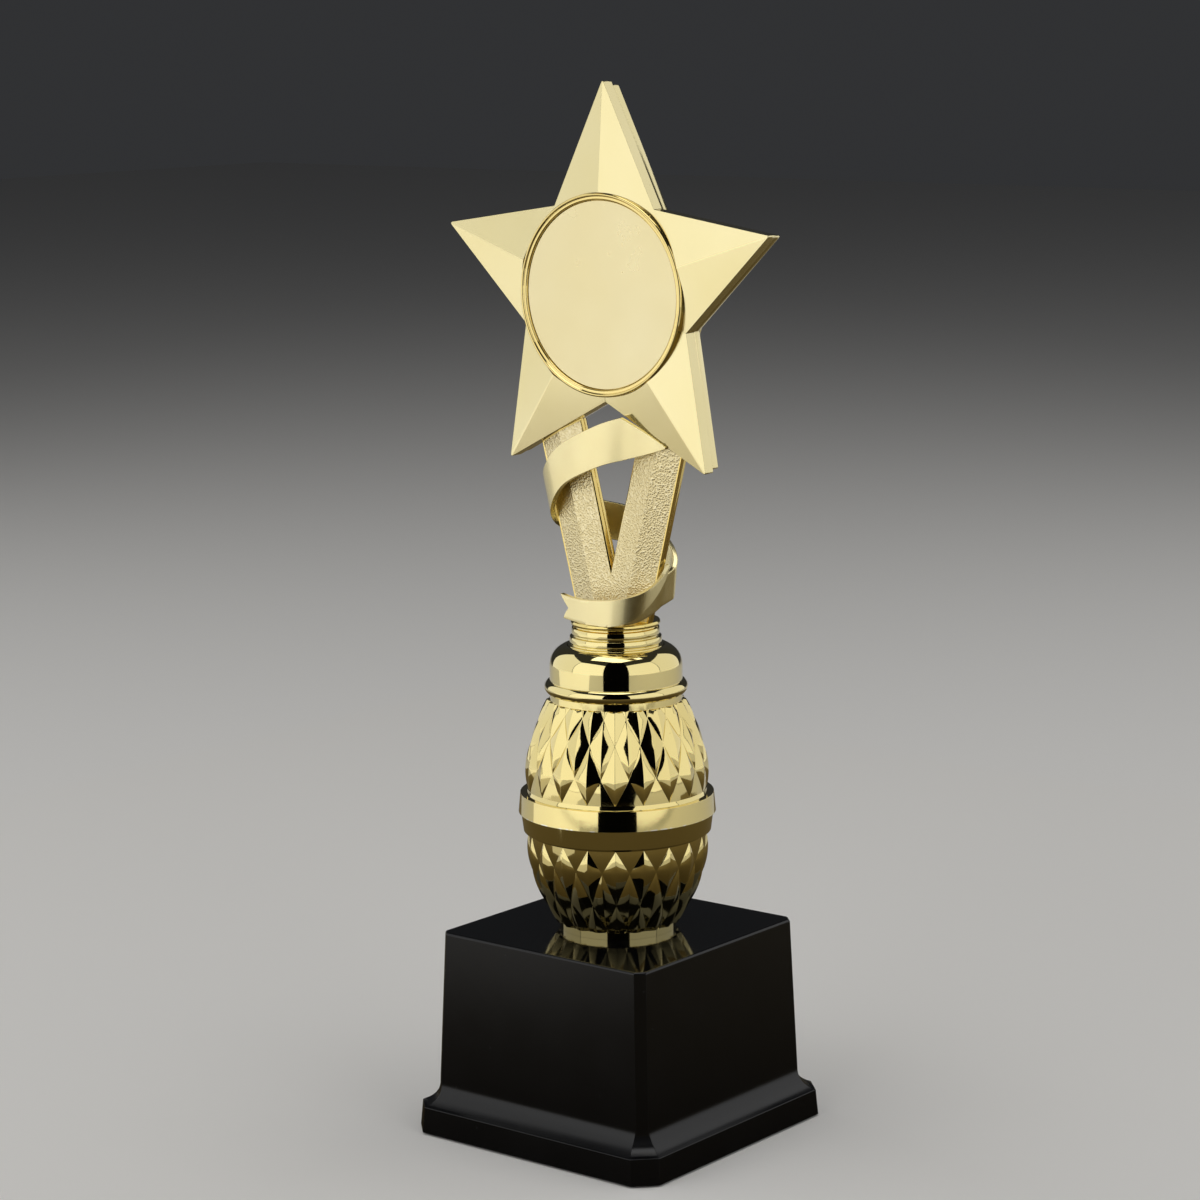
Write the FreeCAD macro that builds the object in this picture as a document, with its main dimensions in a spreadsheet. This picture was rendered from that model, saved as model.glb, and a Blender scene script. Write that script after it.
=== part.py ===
import FreeCAD, Part
import math
import os
import Sketcher

# Star trophy: a star figure on a splayed column, wound by a ribbon, above a barrel stem and a square base.
# Millimetres, +Z up, front towards -Y. The origin is under the middle of the base, on the table.
# Everything above the base is stacked on one threaded rod, so each height is the one below plus a size.

doc = FreeCAD.newDocument("star_trophy")

# ---------------------------------------------------------------------------------------------
# Driving dimensions
# ---------------------------------------------------------------------------------------------

SIZES = [
    ("fit_gap", 0.1, "gap where one moulding slides into another"),
    ("plastic_wall", 2.0, "wall of the hollow mouldings"),
    # square base
    ("felt_thickness", 1.5, "felt sheet glued under the base"),
    ("felt_inset", 3.0, "from the edge of the plinth to the edge of the felt"),
    ("rim_lift", 0.5, "rim of the base above the table, held up by the felt"),
    ("base_height", 56.0, "table to the top face of the base"),
    ("plinth_height", 7.6, "table to the upper edge of the plinth"),
    ("plinth_width", 83.0, "across the flats at the rim"),
    ("plinth_top_width", 82.0, "across the flats at the upper edge of the plinth"),
    ("plinth_corner", 5.4, "leg of the flat across each plinth corner"),
    ("cove_height", 6.2, "hollow moulding between plinth and block"),
    ("cove_sag", 1.2, "how far the cove dips below its chord"),
    ("block_width", 72.2, "across the flats at the foot of the block"),
    ("block_top_width", 69.2, "across the flats at the top of the block"),
    ("block_corner", 2.35, "leg of the flat across each block corner"),
    ("block_edge_round", 0.7, "rounding round the top face"),
    ("base_wall", 2.4, "side wall of the base"),
    ("base_top_plate", 2.6, "top wall of the base"),
    ("weight_gap", 3.2, "between the cast weight and the walls, at the top"),
    ("weight_height", 34.0, "cast weight, top to bottom"),
    # rod and its nuts
    ("rod_radius", 2.5, "threaded rod, crest radius"),
    ("rod_clearance", 0.3, "radial gap where the rod passes through"),
    ("rod_tail", 3.0, "rod below the bottom nut"),
    ("rod_tip", 2.0, "rod above the top nut"),
    ("rod_tip_room", 1.0, "air above the rod, inside the figure's spigot"),
    ("rod_chamfer", 0.5, "chamfer at each end of the rod"),
    ("thread_gap", 0.02, "radial gap between rod and nut threads"),
    ("nut_flats", 8.0, "across the flats"),
    ("nut_height", 4.0, ""),
    ("washer_radius", 9.0, "wide washer under the weight"),
    ("washer_thickness", 1.2, ""),
    # lower barrel
    ("foot_ring_radius", 15.9, "ring that stands on the base"),
    ("foot_ring_height", 2.0, ""),
    ("lower_barrel_height", 27.3, "top of the base to the lower band"),
    ("lower_barrel_radius", 17.0, "outside, just above the foot ring"),
    ("lower_barrel_top_radius", 25.1, "outside, under the lower band"),
    ("lower_barrel_arc", 44.0, "radius of the barrel's side, seen from the front"),
    ("lower_band_height", 5.1, ""),
    ("lower_band_radius", 25.5, "lower edge of the lower band"),
    ("lower_band_top_radius", 26.15, "upper edge of the lower band"),
    ("spigot_height", 3.0, "ring of the lower barrel inside the upper one"),
    ("spigot_wall", 1.4, ""),
    # upper barrel
    ("upper_band_height", 5.4, ""),
    ("upper_band_radius", 26.8, "lower edge of the upper band"),
    ("upper_band_top_radius", 26.3, "upper edge of the upper band"),
    ("upper_barrel_height", 25.5, "upper band to the top ring"),
    ("upper_barrel_radius", 25.4, "outside, just above the upper band"),
    ("upper_barrel_top_radius", 18.9, "outside, under the top ring"),
    ("upper_barrel_arc", 55.0, "radius of the barrel's side, seen from the front"),
    ("top_ring_radius", 18.0, ""),
    ("top_ring_height", 1.9, ""),
    # collar
    ("bead_radius", 19.45, "round bead at the foot of the collar"),
    ("bead_height", 3.3, ""),
    ("collar_radius", 18.0, "upright wall above the bead"),
    ("collar_wall_height", 4.3, ""),
    ("dome_height", 5.4, ""),
    ("dome_arc", 5.6, "radius of the domed shoulder"),
    ("collar_mouth_radius", 13.9, "top edge of the dome"),
    ("collar_seat_depth", 1.6, "how deep the neck sits in the collar"),
    # ribbed neck
    ("neck_height", 7.1, ""),
    ("neck_radius", 13.0, "lowest and widest rib"),
    ("rib_count", 3, "ribs on the neck"),
    ("rib_step", 0.55, "each rib is this much smaller than the one below"),
    ("rib_groove", 0.6, "depth of the groove above each rib"),
    ("rib_groove_height", 0.7, ""),
    ("neck_bore_gap", 0.2, "radial gap round the figure's spigot"),
    # foot of the figure
    ("foot_disc_radius", 12.0, ""),
    ("foot_disc_thickness", 1.4, ""),
    ("foot_disc_arc", 1.12, "radius of its rounded edge"),
    ("foot_spigot_radius", 8.0, "spigot inside the ribbed neck"),
    ("foot_spigot_length", 10.0, ""),
    ("nut_pocket_depth", 5.0, "hexagonal pocket that holds the top nut"),
    ("tenon_half_width", 8.0, "tenon of the column in the foot disc"),
    ("tenon_half_depth", 1.2, ""),
    # splayed column
    ("leg_width", 15.3, "level width of one leg"),
    ("leg_splay", 0.255, "how far a leg moves out for each millimetre up"),
    ("column_foot_half_width", 11.9, "outer edge of a leg, at the foot disc"),
    ("leg_edge_depth", 1.2, "seam to the edge of the face, each half"),
    ("leg_ridge_rise", 1.4, "edge of the face to the ridge down its middle"),
    # star
    ("star_centre_rise", 87.4, "foot disc to the middle of the star"),
    ("star_radius", 56.4, "middle to a point of the star"),
    ("star_crotch_margin", 1.4, "medallion holder to an inner corner"),
    ("star_front_depth", 3.5, "seam to the front edge"),
    ("star_back_depth", 3.0, "seam to the back edge"),
    ("star_back_inset", 0.4, "back half is this much smaller all round"),
    ("star_ridge_rise", 4.6, "edge plane to where the ridges would meet"),
    ("star_wall", 2.2, "rim of the hollow inside the star"),
    ("star_hollow_depth", 1.0, "hollow inside each half, from the seam"),
    ("star_edge_chamfer", 0.3, "bevel along the front edges"),
    # medallion
    ("bezel_rim", 1.9, "width of the rim round the disc"),
    ("bezel_height", 3.6, "seat to the front of the rim"),
    ("bezel_floor", 1.6, "floor under the disc"),
    ("bezel_front_proud", 2.4, "rim in front of the star's edge plane"),
    ("bezel_edge_round", 0.35, ""),
    ("disc_radius", 25.0, ""),
    ("disc_thickness", 1.0, ""),
    # ribbon
    ("ribbon_thickness", 1.3, ""),
    ("ribbon_root", 0.3, "how far the ribbon's inner face lies behind the star's front edge"),
    ("ribbon_gap", 0.3, "air between the ribbon and the legs"),
    ("ribbon_swallowtail", 2.6, "depth of the notch in the tail"),
    ("ribbon_tip", 0.3, "how far the notch would run past the end, which blunts its two tips"),
]

sheet = doc.addObject("Spreadsheet::Sheet", "sizes")
for row, (alias, size, meaning) in enumerate(SIZES, start=1):
    sheet.set("A%d" % row, alias)
    sheet.set("B%d" % row, str(size))
    sheet.set("C%d" % row, meaning)
    sheet.setAlias("B%d" % row, alias)
doc.recompute()


def total(*aliases):
    """Expression that adds up cells of the sheet."""
    return " + ".join("sizes." + alias for alias in aliases)


def number(expression):
    """Value of an expression on the sheet."""
    return float(sheet.evalExpression(expression))


# Heights of the joints in the stack, from the table up.
BASE_TOP = total("base_height")
LOWER_BAND = BASE_TOP + " + " + total("lower_barrel_height")
SEAM = LOWER_BAND + " + " + total("lower_band_height")
UPPER_BAND_TOP = SEAM + " + " + total("upper_band_height")
TOP_RING = UPPER_BAND_TOP + " + " + total("upper_barrel_height")
BARREL_TOP = TOP_RING + " + " + total("top_ring_height")
COLLAR_WALL = BARREL_TOP + " + " + total("bead_height")
DOME = COLLAR_WALL + " + " + total("collar_wall_height")
DOME_TOP = DOME + " + " + total("dome_height")
NECK_FOOT = DOME_TOP + " - sizes.collar_seat_depth"
NECK_TOP = NECK_FOOT + " + " + total("neck_height")
FOOT_TOP = NECK_TOP + " + " + total("foot_disc_thickness")
STAR_CENTRE = FOOT_TOP + " + " + total("star_centre_rise")
BASE_CEILING = BASE_TOP + " - sizes.base_top_plate"
WEIGHT_FOOT = BASE_CEILING + " - sizes.weight_height"
WASHER_FOOT = WEIGHT_FOOT + " - sizes.washer_thickness"
BOTTOM_NUT_FOOT = WASHER_FOOT + " - sizes.nut_height"
ROD_FOOT = BOTTOM_NUT_FOOT + " - sizes.rod_tail"
SPIGOT_FOOT = NECK_TOP + " - sizes.foot_spigot_length"
TOP_NUT_FOOT = SPIGOT_FOOT + " + sizes.nut_pocket_depth - sizes.nut_height"
ROD_TOP = TOP_NUT_FOOT + " + sizes.nut_height + sizes.rod_tip"
ROD_HOLE = "sizes.rod_radius + sizes.rod_clearance"
WEIGHT_WIDTH = "(sizes.block_top_width - 2 * sizes.base_wall - 2 * sizes.weight_gap)"
BEZEL_RADIUS = "sizes.disc_radius + sizes.fit_gap + sizes.bezel_rim"
CROTCH_RADIUS = BEZEL_RADIUS + " + sizes.star_crotch_margin"

# ---------------------------------------------------------------------------------------------
# Tools for sketches and bodies
# ---------------------------------------------------------------------------------------------

V_AXIS, H_AXIS = -2, -1
START, END, CENTRE = 1, 2, 3
parts = []


def new_body(name):
    body = doc.addObject("PartDesign::Body", name)
    body.Label = name
    parts.append(body)
    return body


def new_sketch(body, name, plane, height=None):
    """Sketch on one of the body's own origin planes, lifted off it by an expression."""
    sketch = body.newObject("Sketcher::SketchObject", name)
    support = next(f for f in body.Origin.OriginFeatures if f.Role == plane)
    sketch.AttachmentSupport = [(support, "")]
    sketch.MapMode = "FlatFace"
    if height:
        sketch.setExpression("AttachmentOffset.Base.z", height)
    return sketch


def arc_between(start, end, radius, side):
    """Arc from start to end, bulging to the left (side 1) or right (side -1) of the way between them."""
    way = end - start
    left = FreeCAD.Vector(-way.y, way.x, 0).normalize()
    rise = math.sqrt(max(radius ** 2 - (way.Length / 2) ** 2, 0))
    centre = (start + end) * 0.5 - left * (side * rise)
    circle = Part.Circle(centre, FreeCAD.Vector(0, 0, 1), radius)
    first, last = (end, start) if side > 0 else (start, end)
    angles = [math.atan2(p.y - centre.y, p.x - centre.x) for p in (first, last)]
    if angles[1] <= angles[0]:
        angles[1] += 2 * math.pi
    return Part.ArcOfCircle(circle, angles[0], angles[1])


def draw_outline(sketch, corners):
    """Closed outline. A corner is (x, y) or (x, y, radius, side) where an arc leads on from it."""
    count = len(corners)
    places = [FreeCAD.Vector(number(c[0]), number(c[1]), 0) for c in corners]
    starts, ends = [], []
    for i, corner in enumerate(corners):
        here, there = places[i], places[(i + 1) % count]
        if len(corner) == 2:
            edge = sketch.addGeometry(Part.LineSegment(here, there))
            starts.append((edge, START))
            ends.append((edge, END))
            continue
        radius, side = corner[2:]
        edge = sketch.addGeometry(arc_between(here, there, number(radius), side))
        starts.append((edge, END if side > 0 else START))
        ends.append((edge, START if side > 0 else END))
        index = sketch.addConstraint(Sketcher.Constraint("Radius", edge, number(radius)))
        sketch.setExpression("Constraints[%d]" % index, radius)
    for i, corner in enumerate(corners):
        sketch.addConstraint(Sketcher.Constraint("Coincident", *ends[i - 1], *starts[i]))
        for kind, axis, text, value in (("DistanceX", V_AXIS, corner[0], places[i].x),
                                        ("DistanceY", H_AXIS, corner[1], places[i].y)):
            if text == "0":
                sketch.addConstraint(Sketcher.Constraint("PointOnObject", *starts[i], axis))
                continue
            index = sketch.addConstraint(Sketcher.Constraint(kind, *starts[i], value))
            sketch.setExpression("Constraints[%d]" % index, text)


def turned(name, corners):
    """Body turned round the Z axis from an outline of (radius, height) corners."""
    body = new_body(name)
    sketch = new_sketch(body, name + "_outline", "XZ_Plane")
    draw_outline(sketch, corners)
    turn = body.newObject("PartDesign::Revolution", name + "_turn")
    turn.Profile = sketch
    turn.ReferenceAxis = (sketch, ["V_Axis"])
    turn.Angle = 360
    sketch.Visibility = False
    return body


def pocket(body, name, height, draw, depth, upward):
    """Pocket at one height, upward or downward. draw is given the empty sketch to fill."""
    sketch = new_sketch(body, name + "_outline", "XY_Plane", height)
    draw(sketch)
    feature = body.newObject("PartDesign::Pocket", name)
    feature.Profile = sketch
    feature.setExpression("Length", depth)
    feature.Reversed = upward
    sketch.Visibility = False
    return feature


def draw_rod_hole(sketch):
    """Circle about the origin that clears the rod."""
    radius = number(ROD_HOLE)
    circle = sketch.addGeometry(Part.Circle(FreeCAD.Vector(), FreeCAD.Vector(0, 0, 1), radius))
    sketch.addConstraint(Sketcher.Constraint("Coincident", circle, CENTRE, H_AXIS, START))
    index = sketch.addConstraint(Sketcher.Constraint("Radius", circle, radius))
    sketch.setExpression("Constraints[%d]" % index, ROD_HOLE)


def octagon(half, corner):
    """Corners of a square with flats across its corners."""
    near = "(%s) - (%s)" % (half, corner)
    first = [(half, "-(%s)" % near), (half, near), (near, half), ("-(%s)" % near, half)]
    return first + [tuple("-(%s)" % text for text in point) for point in first]


def solid_from(faces):
    """Closed solid from lists of corner points, one list for each flat face."""
    shell = Part.makeShell([Part.Face(Part.makePolygon(points + points[:1])) for points in faces])
    made = Part.Solid(shell)
    if made.Volume < 0:
        made.reverse()
    return made


def flat_sided(name, foot, top):
    """Solid with flat sides between two octagons, each given as (height, half width, corner flat)."""
    rings = [[FreeCAD.Vector(number(x), number(y), number(height)) for x, y in octagon(half, corner)]
             for height, half, corner in (foot, top)]
    sides = [[rings[0][i - 1], rings[0][i], rings[1][i], rings[1][i - 1]] for i in range(8)]
    obj = doc.addObject("Part::Feature", name)
    obj.Shape = solid_from(rings + sides)
    return obj


def finish(obj, name):
    """Names a finished sub-part made from Part objects."""
    obj.Label = name
    parts.append(obj)
    return obj


def cylinder(name, radius, foot, height):
    obj = doc.addObject("Part::Cylinder", name)
    obj.setExpression("Radius", radius)
    obj.setExpression("Height", height)
    obj.setExpression("Placement.Base.z", foot)
    return obj


def cut(name, base, tool):
    obj = doc.addObject("Part::Cut", name)
    obj.Base, obj.Tool = base, tool
    return obj


# ---------------------------------------------------------------------------------------------
# Square base: a hollow moulding, open underneath
# ---------------------------------------------------------------------------------------------

COVE_STEPS = 4
# Share of the cove's dip that goes in and down, square to its chord.
DIP_IN, DIP_DOWN = 0.8, 0.6


def half_of(alias):
    return "sizes.%s / 2" % alias


def cove_section(step):
    """Height, half width and corner flat of one level of the cove, on a parabola through its sag."""
    share = step / COVE_STEPS
    dip = "%s * sizes.cove_sag" % (4 * share * (1 - share))
    blend = "(%s) * {0} + (%s) * {1}".format(1 - share, share)
    height = "sizes.plinth_height + %s * sizes.cove_height - %s * %s" % (share, DIP_DOWN, dip)
    half = blend % (half_of("plinth_top_width"), half_of("block_width")) + " - %s * %s" % (DIP_IN, dip)
    corner = blend % ("sizes.plinth_corner", "sizes.block_corner")
    return height, half, corner


def loft(body, name, kind, sections, ruled):
    """Adds or removes the solid that joins octagons given as (height, half width, corner flat)."""
    sketches = []
    for index, (height, half, corner) in enumerate(sections):
        sketch = new_sketch(body, "%s_level_%d" % (name, index), "XY_Plane", height)
        draw_outline(sketch, octagon(half, corner))
        sketch.Visibility = False
        sketches.append(sketch)
    feature = body.newObject("PartDesign::" + kind, name)
    feature.Profile = sketches[0]
    feature.Sections = sketches[1:]
    feature.Ruled = ruled
    return feature


base = new_body("base_shell")
BLOCK_FOOT = "sizes.plinth_height + sizes.cove_height"
# The block's sides are true planes, because a name plate is stuck to one of them.
base.BaseFeature = flat_sided("block", (BLOCK_FOOT, half_of("block_width"), "sizes.block_corner"),
                              (BASE_TOP, half_of("block_top_width"), "sizes.block_corner"))
loft(base, "cove", "AdditiveLoft", [cove_section(step) for step in range(COVE_STEPS + 1)], False)
loft(base, "plinth", "AdditiveLoft",
     [("sizes.rim_lift", half_of("plinth_width"), "sizes.plinth_corner"),
      ("sizes.plinth_height", half_of("plinth_top_width"), "sizes.plinth_corner")], True)
doc.recompute()

moulding = base.Tip
top_edges = ["Edge%d" % (i + 1) for i, edge in enumerate(moulding.Shape.Edges)
             if all(abs(v.Z - number(BASE_TOP)) < 0.001 for v in edge.Vertexes)]
rounding = base.newObject("PartDesign::Fillet", "top_rounding")
rounding.Base = (moulding, top_edges)
rounding.setExpression("Radius", "sizes.block_edge_round")
base.Tip = rounding
doc.recompute()

loft(base, "hollow", "SubtractiveLoft",
     [("0", half_of("block_width") + " - sizes.base_wall", "sizes.block_corner"),
      (BASE_CEILING, half_of("block_top_width") + " - sizes.base_wall", "sizes.block_corner")], True)
loft(base, "felt_recess", "SubtractiveLoft",
     [("0", half_of("plinth_width") + " - sizes.felt_inset + sizes.fit_gap", "sizes.plinth_corner"),
      ("sizes.felt_thickness", half_of("plinth_width") + " - sizes.felt_inset + sizes.fit_gap",
       "sizes.plinth_corner")], True)
pocket(base, "rod_hole", BASE_TOP, draw_rod_hole, "2 * sizes.base_top_plate", False)
doc.recompute()

felt = new_body("felt_pad")
felt_sketch = new_sketch(felt, "felt_outline", "XY_Plane")
draw_outline(felt_sketch, octagon(half_of("plinth_width") + " - sizes.felt_inset", "sizes.plinth_corner"))
felt_pad = felt.newObject("PartDesign::Pad", "felt_sheet")
felt_pad.Profile = felt_sketch
felt_pad.setExpression("Length", "sizes.felt_thickness")

weight_block = doc.addObject("Part::Box", "weight_block")
for side in ("Length", "Width"):
    weight_block.setExpression(side, WEIGHT_WIDTH)
weight_block.setExpression("Height", "sizes.weight_height")
for axis in "xy":
    weight_block.setExpression("Placement.Base." + axis, "-%s / 2" % WEIGHT_WIDTH)
weight_block.setExpression("Placement.Base.z", WEIGHT_FOOT)
weight_hole = cylinder("weight_hole", ROD_HOLE, WEIGHT_FOOT, "sizes.weight_height")
finish(cut("weight_cut", weight_block, weight_hole), "base_weight")

# ---------------------------------------------------------------------------------------------
# Rod, nuts and washer: these clamp the whole stack
# ---------------------------------------------------------------------------------------------

turned("threaded_rod", [
    ("0", ROD_FOOT),
    ("sizes.rod_radius - sizes.rod_chamfer", ROD_FOOT),
    ("sizes.rod_radius", ROD_FOOT + " + sizes.rod_chamfer"),
    ("sizes.rod_radius", ROD_TOP + " - sizes.rod_chamfer"),
    ("sizes.rod_radius - sizes.rod_chamfer", ROD_TOP),
    ("0", ROD_TOP),
])

for name, foot in (("top_nut", TOP_NUT_FOOT), ("bottom_nut", BOTTOM_NUT_FOOT)):
    prism = doc.addObject("Part::Prism", name + "_prism")
    prism.Polygon = 6
    prism.setExpression("Circumradius", "sizes.nut_flats / sqrt(3)")
    prism.setExpression("Height", "sizes.nut_height")
    prism.setExpression("Placement.Base.z", foot)
    bore = cylinder(name + "_bore", "sizes.rod_radius + sizes.thread_gap", foot, "sizes.nut_height")
    finish(cut(name + "_cut", prism, bore), name)

washer_disc = cylinder("washer_disc", "sizes.washer_radius", WASHER_FOOT, "sizes.washer_thickness")
washer_hole = cylinder("washer_hole", ROD_HOLE, WASHER_FOOT, "sizes.washer_thickness")
finish(cut("washer_cut", washer_disc, washer_hole), "bottom_washer")

# ---------------------------------------------------------------------------------------------
# Barrel stem: two hollow cups that meet at a lipped seam
# ---------------------------------------------------------------------------------------------

WALL = " - sizes.plastic_wall"
SPIGOT_OUTER = "sizes.upper_band_top_radius - 2 * sizes.plastic_wall - sizes.fit_gap"
SPIGOT_INNER = SPIGOT_OUTER + " - sizes.spigot_wall"
LOWER_FLOOR = BASE_TOP + " + sizes.foot_ring_height"

turned("lower_barrel", [
    (ROD_HOLE, BASE_TOP),
    ("sizes.foot_ring_radius", BASE_TOP),
    ("sizes.foot_ring_radius", LOWER_FLOOR),
    ("sizes.lower_barrel_radius", LOWER_FLOOR, "sizes.lower_barrel_arc", -1),
    ("sizes.lower_barrel_top_radius", LOWER_BAND),
    ("sizes.lower_band_radius", LOWER_BAND),
    ("sizes.lower_band_top_radius", SEAM),
    (SPIGOT_OUTER, SEAM),
    (SPIGOT_OUTER, SEAM + " + sizes.spigot_height"),
    (SPIGOT_INNER, SEAM + " + sizes.spigot_height"),
    (SPIGOT_INNER, LOWER_BAND, "sizes.lower_barrel_arc", 1),
    ("sizes.lower_barrel_radius" + WALL, LOWER_FLOOR + " + sizes.plastic_wall"),
    (ROD_HOLE, LOWER_FLOOR + " + sizes.plastic_wall"),
])

turned("upper_barrel", [
    ("sizes.upper_band_radius", SEAM),
    ("sizes.upper_band_top_radius", UPPER_BAND_TOP),
    ("sizes.upper_barrel_radius", UPPER_BAND_TOP, "sizes.upper_barrel_arc", -1),
    ("sizes.upper_barrel_top_radius", TOP_RING),
    ("sizes.top_ring_radius", TOP_RING),
    ("sizes.top_ring_radius", BARREL_TOP),
    (ROD_HOLE, BARREL_TOP),
    (ROD_HOLE, BARREL_TOP + WALL),
    ("sizes.upper_barrel_top_radius" + WALL, BARREL_TOP + WALL, "sizes.upper_barrel_arc", 1),
    ("sizes.upper_band_top_radius - 2 * sizes.plastic_wall", UPPER_BAND_TOP),
    ("sizes.upper_band_top_radius - 2 * sizes.plastic_wall", SEAM),
])

# ---------------------------------------------------------------------------------------------
# Collar and ribbed neck
# ---------------------------------------------------------------------------------------------

# The bead bulges by a quarter of its height, so its arc has five eighths of its height as radius.
BEAD_FOOT_RADIUS = "sizes.bead_radius - sizes.bead_height / 4"

turned("shoulder_collar", [
    (ROD_HOLE, BARREL_TOP),
    (BEAD_FOOT_RADIUS, BARREL_TOP, "sizes.bead_height * 5 / 8", -1),
    (BEAD_FOOT_RADIUS, COLLAR_WALL),
    ("sizes.collar_radius", COLLAR_WALL),
    ("sizes.collar_radius", DOME, "sizes.dome_arc", -1),
    ("sizes.collar_mouth_radius", DOME_TOP),
    ("sizes.neck_radius + sizes.fit_gap", DOME_TOP),
    ("sizes.neck_radius + sizes.fit_gap", NECK_FOOT),
    ("sizes.foot_spigot_radius + sizes.neck_bore_gap", NECK_FOOT),
    ("sizes.foot_spigot_radius + sizes.neck_bore_gap", BARREL_TOP + " + sizes.plastic_wall"),
    (ROD_HOLE, BARREL_TOP + " + sizes.plastic_wall"),
])

neck_corners = [("sizes.foot_spigot_radius + sizes.neck_bore_gap", NECK_FOOT)]
for rib in range(int(number("sizes.rib_count"))):
    rib_radius = "sizes.neck_radius - %d * sizes.rib_step" % rib
    rib_foot = "%s + %d * sizes.neck_height / sizes.rib_count" % (NECK_FOOT, rib)
    next_foot = "%s + %d * sizes.neck_height / sizes.rib_count" % (NECK_FOOT, rib + 1)
    groove_radius = rib_radius + " - sizes.rib_step - sizes.rib_groove"
    neck_corners += [
        (rib_radius, rib_foot),
        (rib_radius, next_foot + " - sizes.rib_groove_height"),
        (groove_radius, next_foot + " - sizes.rib_groove_height"),
        (groove_radius, next_foot),
    ]
neck_corners.append(("sizes.foot_spigot_radius + sizes.neck_bore_gap", NECK_TOP))
turned("ribbed_neck", neck_corners)

# ---------------------------------------------------------------------------------------------
# Foot of the figure: a disc with a spigot that holds the top nut
# ---------------------------------------------------------------------------------------------

foot = turned("figure_foot", [
    ("0", SPIGOT_FOOT),
    ("sizes.foot_spigot_radius", SPIGOT_FOOT),
    ("sizes.foot_spigot_radius", NECK_TOP),
    ("sizes.foot_disc_radius", NECK_TOP, "sizes.foot_disc_arc", -1),
    ("sizes.foot_disc_radius", FOOT_TOP),
    ("0", FOOT_TOP),
])


def hexagon(flats):
    """Corners of a hexagon, given the distance across its flats."""
    reach = "(%s / sqrt(3))" % flats
    first = [(reach, "0"), (reach + " / 2", flats + " / 2"), ("-%s / 2" % reach, flats + " / 2")]
    return first + [("-" + reach, "0"), ("-%s / 2" % reach, "-%s / 2" % flats),
                    (reach + " / 2", "-%s / 2" % flats)]


def rectangle(half_width, half_depth):
    return [(half_width, "-(%s)" % half_depth), (half_width, half_depth),
            ("-(%s)" % half_width, half_depth), ("-(%s)" % half_width, "-(%s)" % half_depth)]


pocket(foot, "nut_pocket", SPIGOT_FOOT,
       lambda sketch: draw_outline(sketch, hexagon("(sizes.nut_flats + 2 * sizes.fit_gap)")),
       "sizes.nut_pocket_depth", True)
pocket(foot, "rod_pocket", SPIGOT_FOOT, draw_rod_hole,
       "sizes.nut_pocket_depth + sizes.rod_tip + sizes.rod_tip_room", True)
pocket(foot, "tenon_slot", FOOT_TOP,
       lambda sketch: draw_outline(sketch, rectangle("sizes.tenon_half_width + sizes.fit_gap",
                                                     "sizes.tenon_half_depth + sizes.fit_gap")),
       "sizes.foot_disc_thickness", False)
doc.recompute()

# ---------------------------------------------------------------------------------------------
# Shapes worked out in code: the faceted star, the gabled column and the ribbon
# ---------------------------------------------------------------------------------------------

FRONT, BACK = -1, 1
# Half the side of a cutting block that is larger than the whole figure.
REACH = 150.0


def size(alias):
    return number("sizes." + alias)


def star_points(inset, depth):
    """The ten corners of the star, moved in by an inset measured square to its edges."""
    centre = number(STAR_CENTRE)
    outer, inner = size("star_radius"), number(CROTCH_RADIUS)
    tip = FreeCAD.Vector(0, outer, 0)
    crotch = FreeCAD.Vector(inner * math.sin(math.pi / 5), inner * math.cos(math.pi / 5), 0)
    edge_distance = tip.cross(crotch).Length / (tip - crotch).Length
    scale = 1 - inset / edge_distance
    points = []
    for corner in range(10):
        reach = scale * (outer if corner % 2 == 0 else inner)
        angle = math.pi / 5 * corner
        points.append(FreeCAD.Vector(reach * math.sin(angle), depth, centre + reach * math.cos(angle)))
    return points


def star_half(side, depth, inset):
    """Half of the star: flat on the seam, with ten facets that rise to the middle."""
    seam, edge = star_points(inset, 0), star_points(inset, side * depth)
    apex = FreeCAD.Vector(0, side * (depth + size("star_ridge_rise")), number(STAR_CENTRE))
    faces = [seam]
    for i in range(10):
        j = (i + 1) % 10
        faces += [[seam[i], seam[j], edge[j], edge[i]], [edge[i], edge[j], apex]]
    inside = star_points(inset + size("star_wall"), 0)
    hollow = Part.Face(Part.makePolygon(inside + inside[:1]))
    hollow = hollow.extrude(FreeCAD.Vector(0, side * size("star_hollow_depth"), 0))
    return solid_from(faces).cut(hollow)


def round_seat(side, radius, start, end):
    """Cylinder along Y about the middle of the star."""
    origin = FreeCAD.Vector(0, side * start, number(STAR_CENTRE))
    return Part.makeCylinder(radius, end - start, origin, FreeCAD.Vector(0, side, 0))


def bezel_seat(depth):
    """Distance from the seam to the flat that the medallion holder stands on."""
    return depth + size("bezel_front_proud") - size("bezel_height")


def edges_in_plane(shape, distance, longer_than):
    """Straight edges in one plane square to Y."""
    return [edge for edge in shape.Edges
            if all(abs(abs(v.Y) - distance) < 0.001 for v in edge.Vertexes)
            and isinstance(edge.Curve, Part.Line) and edge.Length > longer_than]


for name, side, depth, inset in (("star_front", FRONT, size("star_front_depth"), 0.0),
                                 ("star_back", BACK, size("star_back_depth"), size("star_back_inset"))):
    blank = star_half(side, depth, inset)
    blank = blank.cut(round_seat(side, number(BEZEL_RADIUS) + size("fit_gap"), bezel_seat(depth), REACH))
    star = doc.addObject("Part::Feature", name + "_shape")
    star.Shape = blank.makeChamfer(size("star_edge_chamfer"), edges_in_plane(blank, depth, size("bezel_rim")))
    finish(star, name)

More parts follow.
